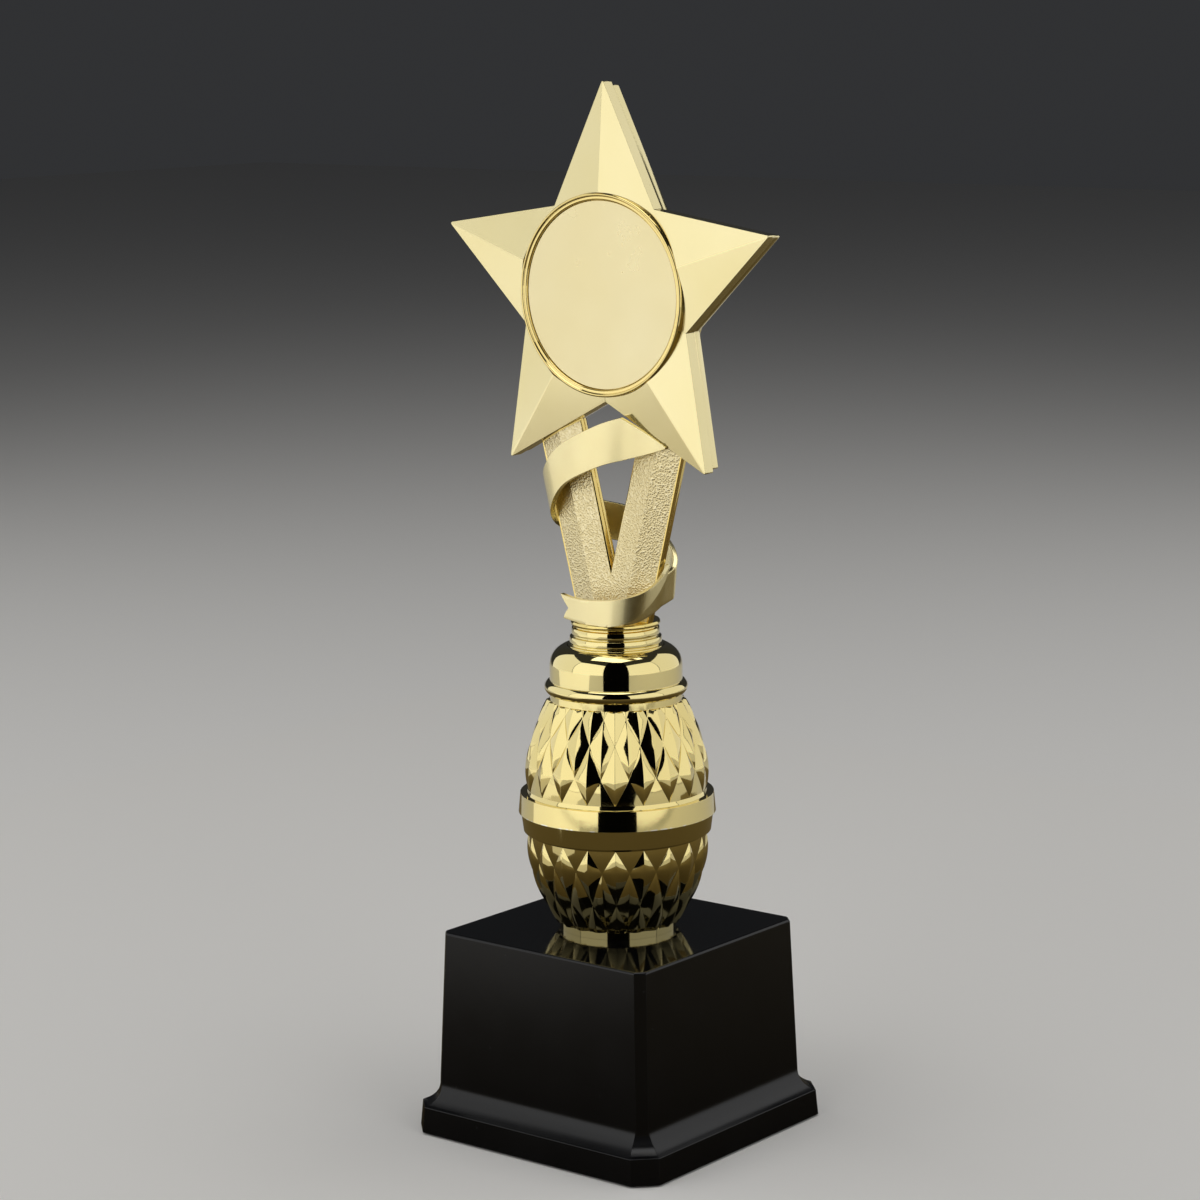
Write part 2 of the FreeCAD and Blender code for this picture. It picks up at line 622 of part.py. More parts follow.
for name, side, depth in (("front", FRONT, size("star_front_depth")),
                          ("back", BACK, size("star_back_depth"))):
    seat = bezel_seat(depth)
    rim = seat + size("bezel_height")
    floor = seat + size("bezel_floor")
    cup = round_seat(side, number(BEZEL_RADIUS), seat, rim)
    cup = cup.cut(round_seat(side, size("disc_radius") + size("fit_gap"), floor, rim))
    rim_edges = [edge for edge in cup.Edges if abs(abs(edge.CenterOfMass.y) - rim) < 0.001]
    holder = doc.addObject("Part::Feature", "medallion_holder_%s_shape" % name)
    holder.Shape = cup.makeFillet(size("bezel_edge_round"), rim_edges)
    finish(holder, "medallion_holder_" + name)
    disc = doc.addObject("Part::Feature", "medallion_disc_%s_shape" % name)
    disc.Shape = round_seat(side, size("disc_radius"), floor, floor + size("disc_thickness"))
    finish(disc, "medallion_disc_" + name)


def leg_outer(height):
    """Half width across the outer edges of the legs, at a height above the table."""
    return size("column_foot_half_width") + size("leg_splay") * (height - number(FOOT_TOP))


def leg(side, hand):
    """Half of one leg: a gabled section carried up the splay, to the star's lowest inner corner."""
    foot_height = number(FOOT_TOP)
    rise = size("star_centre_rise") - number(CROTCH_RADIUS)
    outer = size("column_foot_half_width")
    inner = outer - size("leg_width")
    edge = side * size("leg_edge_depth")
    ridge = side * (size("leg_edge_depth") + size("leg_ridge_rise"))
    section = [(outer, 0), (outer, edge), ((outer + inner) / 2, ridge), (inner, edge), (inner, 0)]
    points = [FreeCAD.Vector(hand * across, depth, foot_height) for across, depth in section]
    face = Part.Face(Part.makePolygon(points + points[:1]))
    return face.extrude(FreeCAD.Vector(hand * size("leg_splay") * rise, 0, rise))


def star_prism():
    """The star's outline carried right through from front to back, to trim the legs and the ribbon."""
    points = star_points(0, -REACH)
    return Part.Face(Part.makePolygon(points + points[:1])).extrude(FreeCAD.Vector(0, 2 * REACH, 0))


def slab(foot, height):
    """Block between two heights, wider than the figure."""
    return Part.makeBox(2 * REACH, 2 * REACH, height, FreeCAD.Vector(-REACH, -REACH, foot))


def only_solid(shape, name):
    """The one solid of a shape. A second one would mean that a cut split the piece."""
    if len(shape.Solids) != 1:
        raise RuntimeError("%s came out as %d solids" % (name, len(shape.Solids)))
    return shape.Solids[0]


trimmer = star_prism()
for name, side in (("column_front", FRONT), ("column_back", BACK)):
    halves = leg(side, 1).fuse(leg(side, -1)).cut(trimmer)
    tenon = Part.makeBox(2 * size("tenon_half_width"), size("tenon_half_depth"), size("foot_disc_thickness"),
                         FreeCAD.Vector(-size("tenon_half_width"),
                                        -size("tenon_half_depth") if side == FRONT else 0,
                                        number(NECK_TOP)))
    column = doc.addObject("Part::Feature", name + "_shape")
    column.Shape = only_solid(halves.fuse(tenon).removeSplitter(), name)
    finish(column, name)

# The ribbon winds down the column as a band. Each station gives the turn in degrees (0 is the right
# side, -90 the front, -180 the left, -270 the back), how far it stands off the legs, half its depth
# front to back (None where it springs from the star), the height of its lower edge as a share of the
# way up to the star's centre, its own height, and how far its lower edge leans out.
RIBBON_STATIONS = [
    (-40, 2.0, None, 0.548, 12.0, 0.0),
    (-56, 2.0, None, 0.528, 12.3, 0.0),
    (-72, 2.0, 4.4, 0.507, 11.8, 0.0),
    (-90, 1.7, 6.2, 0.480, 11.2, 0.0),
    (-120, 0.9, 7.2, 0.418, 10.4, 0.0),
    (-150, 0.5, 7.4, 0.336, 10.6, 0.0),
    (-180, 0.5, 7.6, 0.275, 11.2, 0.0),
    (-210, 0.9, 8.2, 0.246, 11.0, 0.0),
    (-240, 1.2, 8.6, 0.230, 10.4, 0.0),
    (-270, 1.5, 9.2, 0.212, 10.0, 0.0),
    (-300, 1.2, 9.8, 0.155, 9.1, 0.2),
    (-330, 1.3, 10.5, 0.098, 9.1, 0.8),
    (-360, 1.7, 10.8, 0.055, 8.8, 1.2),
    (-390, 1.8, 10.8, 0.012, 8.4, 0.8),
    (-420, 1.8, 10.6, 0.0, 7.4, 0.3),
    (-450, 1.8, 10.2, 0.0, 6.6, 0.0),
    (-468, 2.0, 10.8, 0.004, 6.4, 0.0),
    (-486, 2.3, 12.2, 0.010, 6.6, 0.0),
]


def spring_depth():
    """Depth of the ribbon's inner face where it leaves the star."""
    return size("star_front_depth") - size("star_edge_chamfer") - size("ribbon_root")


def ribbon_frame(station):
    """Outward normal and the inner points of the lower and upper edge at one station."""
    turn, stand_off, half_depth, share, height, lean = station
    angle = math.radians(turn)
    if half_depth is None:
        half_depth = spring_depth() / abs(math.sin(angle))
    lower = number(FOOT_TOP) + share * size("star_centre_rise")
    edges = []
    for level, extra in ((lower, lean), (lower + height, 0.0)):
        half_width = leg_outer(level) + size("ribbon_gap") + stand_off + extra
        edges.append(FreeCAD.Vector(half_width * math.cos(angle),
                                    (half_depth + extra) * math.sin(angle), level))
    half_width = leg_outer(lower + height / 2) + stand_off
    normal = FreeCAD.Vector(math.cos(angle) / half_width, math.sin(angle) / half_depth, 0).normalize()
    return normal, edges[0], edges[1]


def ribbon_band(stations):
    """Band of even thickness through its stations."""
    wires = []
    for station in stations:
        normal, low, high = ribbon_frame(station)
        out = normal * size("ribbon_thickness")
        wires.append(Part.makePolygon([low, low + out, high + out, high, low]))
    return Part.makeLoft(wires, True, False)


def swallowtail(station, before):
    """Wedge that notches the free end of the ribbon."""
    normal, low, high = ribbon_frame(station)
    _, low_before, high_before = ribbon_frame(before)
    middle = (low + high) * 0.5
    along = (middle - (low_before + high_before) * 0.5)
    along = (along - normal * along.dot(normal)).normalize()
    through = normal * (3 * size("ribbon_thickness"))
    start = middle - through
    past_end = along * size("ribbon_tip")
    corners = [start - along * size("ribbon_swallowtail"), start + (high - middle) + past_end,
               start + (low - middle) + past_end]
    return Part.Face(Part.makePolygon(corners + corners[:1])).extrude(through * 2)


LEFT_SIDE = next(i for i, station in enumerate(RIBBON_STATIONS) if station[0] == -180)
RIGHT_SIDE = next(i for i, station in enumerate(RIBBON_STATIONS) if station[0] == -360)
ribbon_runs = {
    "ribbon_upper": RIBBON_STATIONS[:LEFT_SIDE + 1],
    "ribbon_back": RIBBON_STATIONS[LEFT_SIDE:RIGHT_SIDE + 1],
    "ribbon_tail": RIBBON_STATIONS[RIGHT_SIDE:],
}
for name, stations in ribbon_runs.items():
    band = ribbon_band(stations)
    if name == "ribbon_upper":
        # it ends on the star's edge, and is hollowed to lie on the legs where they stand deeper than it
        band = band.cut(trimmer).cut(doc.column_front_shape.Shape)
    if name == "ribbon_tail":
        band = band.cut(swallowtail(stations[-1], stations[-2]))
        band = band.common(slab(number(FOOT_TOP), size("star_centre_rise")))
    ribbon = doc.addObject("Part::Feature", name + "_shape")
    ribbon.Shape = only_solid(band, name)
    finish(ribbon, name)

# ---------------------------------------------------------------------------------------------
# Check everything, then write one file for each sub-part
# ---------------------------------------------------------------------------------------------

doc.recompute()
for obj in doc.Objects:
    if "Invalid" in obj.State or "Error" in obj.State:
        raise RuntimeError("%s failed: %s" % (obj.Label, obj.State))
for obj in parts:
    if obj.Shape.isNull() or not obj.Shape.isValid() or obj.Shape.Volume <= 0:
        raise RuntimeError("%s has no valid solid" % obj.Label)

os.makedirs("parts", exist_ok=True)
for obj in parts:
    obj.Shape.exportStep("parts/%s.step" % obj.Label)
    box = obj.Shape.BoundBox
    print("%-24s solids %d volume %9.1f  z %6.2f to %6.2f" % (
        obj.Label, len(obj.Shape.Solids), obj.Shape.Volume, box.ZMin, box.ZMax))
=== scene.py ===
import math

import bmesh
import bpy
from mathutils import Matrix, Vector


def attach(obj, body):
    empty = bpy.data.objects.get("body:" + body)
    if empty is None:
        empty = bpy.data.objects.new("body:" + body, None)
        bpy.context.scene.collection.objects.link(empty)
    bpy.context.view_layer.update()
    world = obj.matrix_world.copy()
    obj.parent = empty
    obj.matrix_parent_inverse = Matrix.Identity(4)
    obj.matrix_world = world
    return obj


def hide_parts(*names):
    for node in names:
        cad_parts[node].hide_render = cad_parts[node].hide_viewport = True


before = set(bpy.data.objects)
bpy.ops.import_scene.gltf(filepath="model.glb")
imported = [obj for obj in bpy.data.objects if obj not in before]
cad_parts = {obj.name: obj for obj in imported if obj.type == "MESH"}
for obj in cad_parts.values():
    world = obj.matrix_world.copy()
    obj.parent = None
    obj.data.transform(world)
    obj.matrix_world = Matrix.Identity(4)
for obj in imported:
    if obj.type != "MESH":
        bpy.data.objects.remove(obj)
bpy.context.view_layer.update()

# ------------------------------------------------------------------------------------------------
# Square base
# An injection-moulded shell of black polystyrene, open underneath: a plinth, a hollow moulding and
# a tall block whose walls lean in so that it leaves its mould. Its top is polished, its sides satin.
# ------------------------------------------------------------------------------------------------

MM = 0.001


def open_piece(name):
    """Names the primitive that has just been added and opens it for editing."""
    piece = bpy.context.object
    piece.name = piece.data.name = name
    bpy.ops.object.transform_apply(location=True, rotation=True, scale=True)
    bpy.ops.object.mode_set(mode="EDIT")
    return piece


def pick(piece, kind, test):
    """In edit mode, selects only the vertices, edges or faces that pass a test."""
    bpy.ops.mesh.select_mode(type=kind)
    bpy.ops.mesh.select_all(action="DESELECT")
    mesh = bmesh.from_edit_mesh(piece.data)
    items = {"VERT": mesh.verts, "EDGE": mesh.edges, "FACE": mesh.faces}[kind]
    for item in items:
        if test(item):
            item.select_set(True)
    bmesh.update_edit_mesh(piece.data)


def smooth_shade(piece):
    """In object mode, shades curves smooth and keeps the flat faces beside them flat in the light."""
    bpy.ops.object.shade_smooth_by_angle(angle=math.radians(40))
    flats = piece.modifiers.new("flat_faces", "WEIGHTED_NORMAL")
    flats.keep_sharp = True
    bpy.ops.object.modifier_apply(modifier=flats.name)


def soften(piece, width_mm, angle, segments=3):
    """Rounds every edge sharper than an angle, and shades the piece."""
    bpy.ops.object.mode_set(mode="OBJECT")
    bpy.ops.object.select_all(action="DESELECT")
    bpy.context.view_layer.objects.active = piece
    piece.select_set(True)
    edges = piece.modifiers.new("rounded_edges", "BEVEL")
    edges.width = width_mm * MM
    edges.segments = segments
    edges.limit_method = "ANGLE"
    edges.angle_limit = math.radians(angle)
    bpy.ops.object.modifier_apply(modifier=edges.name)
    smooth_shade(piece)


def place_octagon(piece, height, half, flat):
    """Moves the selected ring to a square of that half width, with flats across its corners."""
    mesh = bmesh.from_edit_mesh(piece.data)
    for vert in mesh.verts:
        if vert.select:
            wide = abs(vert.co.x) > abs(vert.co.y)
            across, along = (half, half - flat) if wide else (half - flat, half)
            vert.co = Vector((math.copysign(across, vert.co.x), math.copysign(along, vert.co.y), height)) * MM
    bmesh.update_edit_mesh(piece.data)


def linear(hex_colour):
    """Linear colour for a shader, from an sRGB hex value."""
    parts = [int(hex_colour[i:i + 2], 16) / 255 for i in (1, 3, 5)]
    return tuple(c / 12.92 if c <= 0.04045 else ((c + 0.055) / 1.055) ** 2.4 for c in parts) + (1,)


def add_node(tree, kind, links=None, **settings):
    """Adds a node. Settings are its properties or sockets; links join other nodes' outputs to its sockets."""
    node = tree.nodes.new(kind)
    for key, value in settings.items():
        if hasattr(node, key):
            setattr(node, key, value)
        else:
            node.inputs[key.replace("_", " ")].default_value = value
    for socket, output in (links or {}).items():
        tree.links.new(output, node.inputs[socket])
    return node


def new_finish(name):
    """Empty material with its shader. Returns the material, its node tree, the shader and the place on the piece."""
    finish = bpy.data.materials.new(name)
    finish.use_nodes = True
    tree = finish.node_tree
    shader = tree.nodes["Principled BSDF"]
    place = add_node(tree, "ShaderNodeTexCoord").outputs["Object"]
    return finish, tree, shader, place


def own(piece, node, finish):
    """Finished piece: it moves with the trophy and stands for a CAD node."""
    if not piece.data.materials:
        piece.data.materials.append(finish)
    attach(piece, "root")
    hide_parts(node)


PLINTH = [(0.5, 41.5, 5.4), (7.6, 41.0, 5.4)]
BLOCK = [(13.8, 36.1, 2.35), (56.0, 34.6, 2.35)]
COVE_STEPS, COVE_SAG = 8, 1.2

bpy.ops.object.select_all(action="DESELECT")
bpy.ops.mesh.primitive_cube_add(size=PLINTH[0][1] * 2 * MM, location=(0, 0, (PLINTH[0][0] + PLINTH[0][1]) * MM))
base = open_piece("square_base")
pick(base, "EDGE", lambda e: abs(e.verts[0].co.z - e.verts[1].co.z) > MM)
bpy.ops.mesh.bevel(offset=PLINTH[0][2] * MM, segments=1)
pick(base, "FACE", lambda f: f.normal.z > 0.9)
place_octagon(base, *PLINTH[1])
for step in range(1, COVE_STEPS + 1):
    share = step / COVE_STEPS
    dip = 4 * share * (1 - share) * COVE_SAG
    height, half, flat = (a + (b - a) * share for a, b in zip(PLINTH[1], BLOCK[0]))
    bpy.ops.mesh.extrude_region_move(TRANSFORM_OT_translate={"value": (0, 0, 1 * MM)})
    place_octagon(base, height - 0.6 * dip, half - 0.8 * dip, flat)
bpy.ops.mesh.extrude_region_move(TRANSFORM_OT_translate={"value": (0, 0, 1 * MM)})
place_octagon(base, *BLOCK[1])
pick(base, "EDGE", lambda e: all(v.co.z > 55.9 * MM for v in e.verts))
bpy.ops.mesh.bevel(offset=0.7 * MM, segments=4)
# the recess that takes the felt
pick(base, "FACE", lambda f: f.normal.z < -0.9)
bpy.ops.mesh.inset(thickness=2.9 * MM)
bpy.ops.mesh.extrude_region_move(TRANSFORM_OT_translate={"value": (0, 0, 1 * MM)})
soften(base, 0.3, 20)

# Black polystyrene: pigment all through, glossy where the mould was polished. The sides carry a
# satin bloom, and fine specks of dust lie on it.
black_styrene, tree, shader, place = new_finish("black_polystyrene")
shader.inputs["IOR"].default_value = 1.59
shader.inputs["Specular IOR Level"].default_value = 0.3
up = add_node(tree, "ShaderNodeSeparateXYZ", {"Vector": add_node(tree, "ShaderNodeNewGeometry").outputs["Normal"]})
satin = add_node(tree, "ShaderNodeMapRange", {"Value": up.outputs["Z"]},
                 From_Min=0.9, From_Max=0.98, To_Min=0.24, To_Max=0.07)
bloom = add_node(tree, "ShaderNodeTexNoise", {"Vector": place}, Scale=1 / (12 * MM), Detail=3.0)
rough = add_node(tree, "ShaderNodeMath", {0: satin.outputs["Result"]}, operation="MULTIPLY_ADD")
tree.links.new(add_node(tree, "ShaderNodeMapRange", {"Value": bloom.outputs["Fac"]},
                        To_Min=0.85, To_Max=1.2).outputs["Result"], rough.inputs[1])
rough.inputs[2].default_value = 0
tree.links.new(rough.outputs["Value"], shader.inputs["Roughness"])
dust = add_node(tree, "ShaderNodeTexVoronoi", {"Vector": place}, Scale=1 / (5 * MM))
speck = add_node(tree, "ShaderNodeMapRange", {"Value": dust.outputs["Distance"]},
                 From_Min=0.018, From_Max=0.03, To_Min=1.0, To_Max=0.0)
colour = add_node(tree, "ShaderNodeMix", {"Factor": speck.outputs["Result"]}, data_type="RGBA")
colour.inputs["A"].default_value = linear("#070708")
colour.inputs["B"].default_value = linear("#3A3A3C")
tree.links.new(colour.outputs["Result"], shader.inputs["Base Color"])
ripple = add_node(tree, "ShaderNodeTexNoise", {"Vector": place}, Scale=1 / (6 * MM), Detail=1.0)
skin = add_node(tree, "ShaderNodeBump", {"Height": ripple.outputs["Fac"]}, Strength=0.12, Distance=0.04 * MM)
tree.links.new(skin.outputs["Normal"], shader.inputs["Normal"])
own(base, "base_shell", black_styrene)

# ------------------------------------------------------------------------------------------------
# Felt, cast weight, rod, nuts and washer
# Stock parts inside and under the base. The felt is glued into the recess; the M5 rod and its nuts
# are zinc-plated steel, and the weight is cast plaster. Their CAD solids are kept as they are.
# ------------------------------------------------------------------------------------------------


def coat(node, finish):
    """Gives a CAD node its finish."""
    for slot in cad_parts[node].material_slots:
        slot.material = finish


# Pressed wool felt: dull, with matted fibres about half a millimetre long.
felt, tree, shader, place = new_finish("pressed_wool_felt")
shader.inputs["Roughness"].default_value = 0.95
shader.inputs["Sheen Weight"].default_value = 0.3
fibres = add_node(tree, "ShaderNodeTexNoise", {"Vector": place}, Scale=1 / (0.5 * MM), Detail=4.0, Distortion=1.5)
colour = add_node(tree, "ShaderNodeMix", {"Factor": fibres.outputs["Fac"]}, data_type="RGBA")
colour.inputs["A"].default_value = linear("#16201B")
colour.inputs["B"].default_value = linear("#2E3B34")
tree.links.new(colour.outputs["Result"], shader.inputs["Base Color"])
nap = add_node(tree, "ShaderNodeBump", {"Height": fibres.outputs["Fac"]}, Strength=0.6, Distance=0.2 * MM)
tree.links.new(nap.outputs["Normal"], shader.inputs["Normal"])
coat("felt_pad", felt)

# Cast plaster: chalky and matt, with a few air pits about a millimetre across. The pits have no depth: they are
# painted darker, as painted shade in their hollows.
plaster, tree, shader, place = new_finish("cast_plaster")
shader.inputs["Roughness"].default_value = 0.9
pits = add_node(tree, "ShaderNodeTexVoronoi", {"Vector": place}, Scale=1 / (4 * MM))
hollow = add_node(tree, "ShaderNodeMapRange", {"Value": pits.outputs["Distance"]},
                  From_Min=0.08, From_Max=0.14, To_Min=1.0, To_Max=0.0)
colour = add_node(tree, "ShaderNodeMix", {"Factor": hollow.outputs["Result"]}, data_type="RGBA")
colour.inputs["A"].default_value = linear("#DAD6CC")
colour.inputs["B"].default_value = linear("#9C978B")
tree.links.new(colour.outputs["Result"], shader.inputs["Base Color"])
coat("base_weight", plaster)

# Zinc-plated steel: a grey metal with a soft shine and a faint cloudy spangle.
zinc, tree, shader, place = new_finish("zinc_plated_steel")
shader.inputs["Metallic"].default_value = 1.0
cloud = add_node(tree, "ShaderNodeTexNoise", {"Vector": place}, Scale=1 / (2 * MM), Detail=4.0)
colour = add_node(tree, "ShaderNodeMix", {"Factor": cloud.outputs["Fac"]}, data_type="RGBA")
colour.inputs["A"].default_value = linear("#A9ABAE")
colour.inputs["B"].default_value = linear("#C9CACB")
tree.links.new(colour.outputs["Result"], shader.inputs["Base Color"])
tree.links.new(add_node(tree, "ShaderNodeMapRange", {"Value": cloud.outputs["Fac"]},
                        To_Min=0.28, To_Max=0.42).outputs["Result"], shader.inputs["Roughness"])
for node in ("threaded_rod", "top_nut", "bottom_nut", "bottom_washer"):
    coat(node, zinc)

# ------------------------------------------------------------------------------------------------
# Barrel stem
# Two moulded cups covered in raised diamonds like cut glass, twenty round, each diamond with a ridge
# down its middle. The upper cup's plain band overhangs the lower one's, and is worn along that lip.
# ------------------------------------------------------------------------------------------------

COLUMNS = 40                 # half-diamond columns round the barrel
ROUND = 4 * COLUMNS          # points in one row: a ridge, a groove and a point between each two
PATTERN_TURN = 37.0          # one column of diamonds faces this way, in degrees from the front
DIAMOND_RISE = 1.0           # groove to ridge, mm
CROWN = 0.62                 # rise halfway from groove to ridge, as a share: over a half is rounded
ROWS_BETWEEN = 7             # rows of faces between two levels of diamond tips


def plain_row(radius, height):
    """Row of the barrel's skin with one radius all round."""
    return [(radius, point / 4, height) for point in range(ROUND)]


def ridge_rise(tips, height):
    """Rise of a column's ridge at a height. It is nothing at a tip, and where there is no diamond."""
    for high, low in zip(tips, tips[1:]):
        if low < height < high:
            return DIAMOND_RISE * math.sin(math.pi * (high - height) / (high - low)) ** 0.85
    return 0.0


def diamond_rows(even_tips, odd_tips, top, foot, radius_at):
    """Rows of the skin from top to foot. Each list holds the heights of the diamonds' tips in a column,
    downwards; a groove runs from a tip in one column to the next lower tip in the column beside it."""
    tips = sorted([(tip, 0) for tip in even_tips] + [(tip, 1) for tip in odd_tips], reverse=True)
    marks = sorted({top, foot} | {tip for tip, _ in tips if foot < tip < top}, reverse=True)
    heights = [a + (b - a) * step / ROWS_BETWEEN for a, b in zip(marks, marks[1:]) for step in range(ROWS_BETWEEN)]
    rows = []
    for height in heights + [foot]:
        (high, start), (low, end) = next(pair for pair in zip(tips, tips[1:]) if pair[1][0] <= height)
        from_even = start + (end - start) * (high - height) / (high - low)
        rises = ridge_rise(even_tips, height), ridge_rise(odd_tips, height)
        floor = radius_at(height) - DIAMOND_RISE
        row = []
        for column in range(COLUMNS):
            here, beside = rises[column % 2], rises[1 - column % 2]
            groove = 1 - from_even if column % 2 else from_even
            row += [(floor + here, column, height), (floor + CROWN * here, column + groove / 2, height),
                    (floor, column + groove, height), (floor + CROWN * beside, column + (1 + groove) / 2, height)]
        rows.append(row)
    return rows


def wrap(name, rows):
    """Closed piece made by wrapping a grid round the Z axis, one line of its points to each row. Its
    ridges, grooves and lips are rounded."""
    bpy.ops.object.select_all(action="DESELECT")
    bpy.ops.mesh.primitive_grid_add(size=1, x_subdivisions=ROUND, y_subdivisions=len(rows))
    piece = open_piece(name)
    mesh = bmesh.from_edit_mesh(piece.data)
    lips = [len({radius for radius, _, _ in row}) == 1 for row in rows]
    spots = {vert: (round((vert.co.x + 0.5) * ROUND), round((vert.co.y + 0.5) * len(rows)) % len(rows))
             for vert in mesh.verts}
    weight = mesh.edges.layers.float.new("bevel_weight_edge")
    for edge in mesh.edges:
        (x, y), (next_x, next_y) = (spots[vert] for vert in edge.verts)
        along_lip = y == next_y and lips[y]
        along_ridge = x == next_x and x % 2 == 0 and not (lips[y] and lips[next_y])
        edge[weight] = 1.0 if along_lip or along_ridge else 0.0
    for vert, (x, y) in spots.items():
        radius, column, height = rows[y][x % ROUND]
        angle = math.radians(PATTERN_TURN - 90) + 2 * math.pi * column / COLUMNS
        vert.co = Vector((radius * math.cos(angle), radius * math.sin(angle), height)) * MM
    bmesh.update_edit_mesh(piece.data)
    bpy.ops.mesh.select_all(action="SELECT")
    bpy.ops.mesh.remove_doubles(threshold=0.002 * MM)
    bpy.ops.mesh.dissolve_degenerate(threshold=0.002 * MM)
    bpy.ops.mesh.normals_make_consistent(inside=False)
    bpy.ops.object.mode_set(mode="OBJECT")
    bpy.ops.object.select_all(action="DESELECT")
    piece.select_set(True)
    edges = piece.modifiers.new("rounded_edges", "BEVEL")
    edges.width = 0.1 * MM
    edges.segments = 2
    edges.limit_method = "WEIGHT"
    bpy.ops.object.modifier_apply(modifier=edges.name)
    smooth_shade(piece)
    return piece


def barrel_side(foot, top, belly):
    """Radius of a barrel's side at a height, from the (radius, height) of its two ends and its belly."""
    def radius_at(height):
        share = (height - foot[1]) / (top[1] - foot[1])
        return foot[0] + (top[0] - foot[0]) * share + 4 * belly * share * (1 - share)
    return radius_at


ROD_HOLE = 2.8
upper_barrel = wrap("upper_barrel_diamonds", [
    plain_row(ROD_HOLE, 88.4), plain_row(ROD_HOLE, 121.2), plain_row(17.9, 121.2), plain_row(18.0, 119.3),
    *diamond_rows([123.9, 110.6, 94.9], [131.0, 117.2, 101.9], 119.2, 94.9,
                  barrel_side((25.4, 93.8), (18.9, 119.3), 1.65)),
    plain_row(24.7, 93.8), plain_row(26.3, 93.8), plain_row(26.8, 88.4),
])
lower_barrel = wrap("lower_barrel_diamonds", [
    plain_row(ROD_HOLE, 88.4), plain_row(26.15, 88.4), plain_row(25.5, 83.3), plain_row(24.4, 83.3),
    *diamond_rows([82.5, 66.7, 51.0], [76.2, 59.3, 44.0], 82.5, 58.1,
                  barrel_side((17.0, 58.0), (25.1, 83.3), 2.15)),
    plain_row(15.9, 58.0), plain_row(15.9, 56.0), plain_row(ROD_HOLE, 56.0),
])


# Vacuum-metallised polystyrene: a mirror film of aluminium under a lacquer dyed gold. It gives a
# pale, slightly greenish gold with a hard gloss, a faint orange peel and scattered pinholes.
def metallised_gold(name, pale, deep, roughness, pinholes=0.02):
    finish, tree, shader, place = new_finish(name)
    shader.inputs["Metallic"].default_value = 1.0
    shader.inputs["Coat Weight"].default_value = 0.35
    shader.inputs["Coat Roughness"].default_value = 0.04
    drift = add_node(tree, "ShaderNodeTexNoise", {"Vector": place}, Scale=1 / (25 * MM), Detail=2.0)
    body = add_node(tree, "ShaderNodeMix", {"Factor": drift.outputs["Fac"]}, data_type="RGBA")
    body.inputs["A"].default_value = linear(deep)
    body.inputs["B"].default_value = linear(pale)
    holes = add_node(tree, "ShaderNodeTexVoronoi", {"Vector": place}, Scale=1 / (6 * MM))
    hole = add_node(tree, "ShaderNodeMapRange", {"Value": holes.outputs["Distance"]},
                    From_Min=pinholes * 0.6, From_Max=pinholes, To_Min=1.0, To_Max=0.0)
    colour = add_node(tree, "ShaderNodeMix", {"Factor": hole.outputs["Result"], "A": body.outputs["Result"]},
                      data_type="RGBA")
    colour.inputs["B"].default_value = linear("#5C4415")
    tree.links.new(colour.outputs["Result"], shader.inputs["Base Color"])
    haze = add_node(tree, "ShaderNodeTexNoise", {"Vector": place}, Scale=1 / (9 * MM), Detail=4.0)
    tree.links.new(add_node(tree, "ShaderNodeMapRange", {"Value": haze.outputs["Fac"]}, To_Min=roughness * 0.7,
                            To_Max=roughness * 1.3).outputs["Result"], shader.inputs["Roughness"])
    peel = add_node(tree, "ShaderNodeTexNoise", {"Vector": place}, Scale=1 / (1.8 * MM), Detail=1.0)
    skin = add_node(tree, "ShaderNodeBump", {"Height": peel.outputs["Fac"]}, Strength=0.1, Distance=0.02 * MM)
    tree.links.new(skin.outputs["Normal"], shader.inputs["Normal"])
    return finish, tree, shader, colour, place


barrel_gold, tree, shader, colour, place = metallised_gold("metallised_barrel", "#F1E3A2", "#E6D084", 0.06)
# white flecks where the film has rubbed off the lip between the two bands
lip = add_node(tree, "ShaderNodeSeparateXYZ", {"Vector": place})
away = add_node(tree, "ShaderNodeMath", {0: lip.outputs["Z"]}, operation="SUBTRACT")
away.inputs[1].default_value = 88.45 * MM
near = add_node(tree, "ShaderNodeMath", {0: away.outputs["Value"]}, operation="ABSOLUTE")
edge = add_node(tree, "ShaderNodeMapRange", {"Value": near.outputs["Value"]},
                From_Min=0.1 * MM, From_Max=0.35 * MM, To_Min=1.0, To_Max=0.0)
chips = add_node(tree, "ShaderNodeTexNoise", {"Vector": place}, Scale=1 / (1.6 * MM), Detail=5.0)
chip = add_node(tree, "ShaderNodeMapRange", {"Value": chips.outputs["Fac"]}, From_Min=0.52, From_Max=0.58)
worn = add_node(tree, "ShaderNodeMath", {0: edge.outputs["Result"], 1: chip.outputs["Result"]}, operation="MULTIPLY")
rubbed = add_node(tree, "ShaderNodeMix", {"Factor": worn.outputs["Value"], "A": colour.outputs["Result"]},
                  data_type="RGBA")
rubbed.inputs["B"].default_value = linear("#F4F0E4")
tree.links.new(rubbed.outputs["Result"], shader.inputs["Base Color"])
own(upper_barrel, "upper_barrel", barrel_gold)
own(lower_barrel, "lower_barrel", barrel_gold)

# ------------------------------------------------------------------------------------------------
# Collar, ribbed neck and foot of the figure
# Three turned-looking mouldings threaded on the rod: a collar with a bead and a domed shoulder, a
# neck of three ribs that sits in its mouth, and the thin disc that the figure stands on.
# ------------------------------------------------------------------------------------------------

TURNED_STEPS = 144


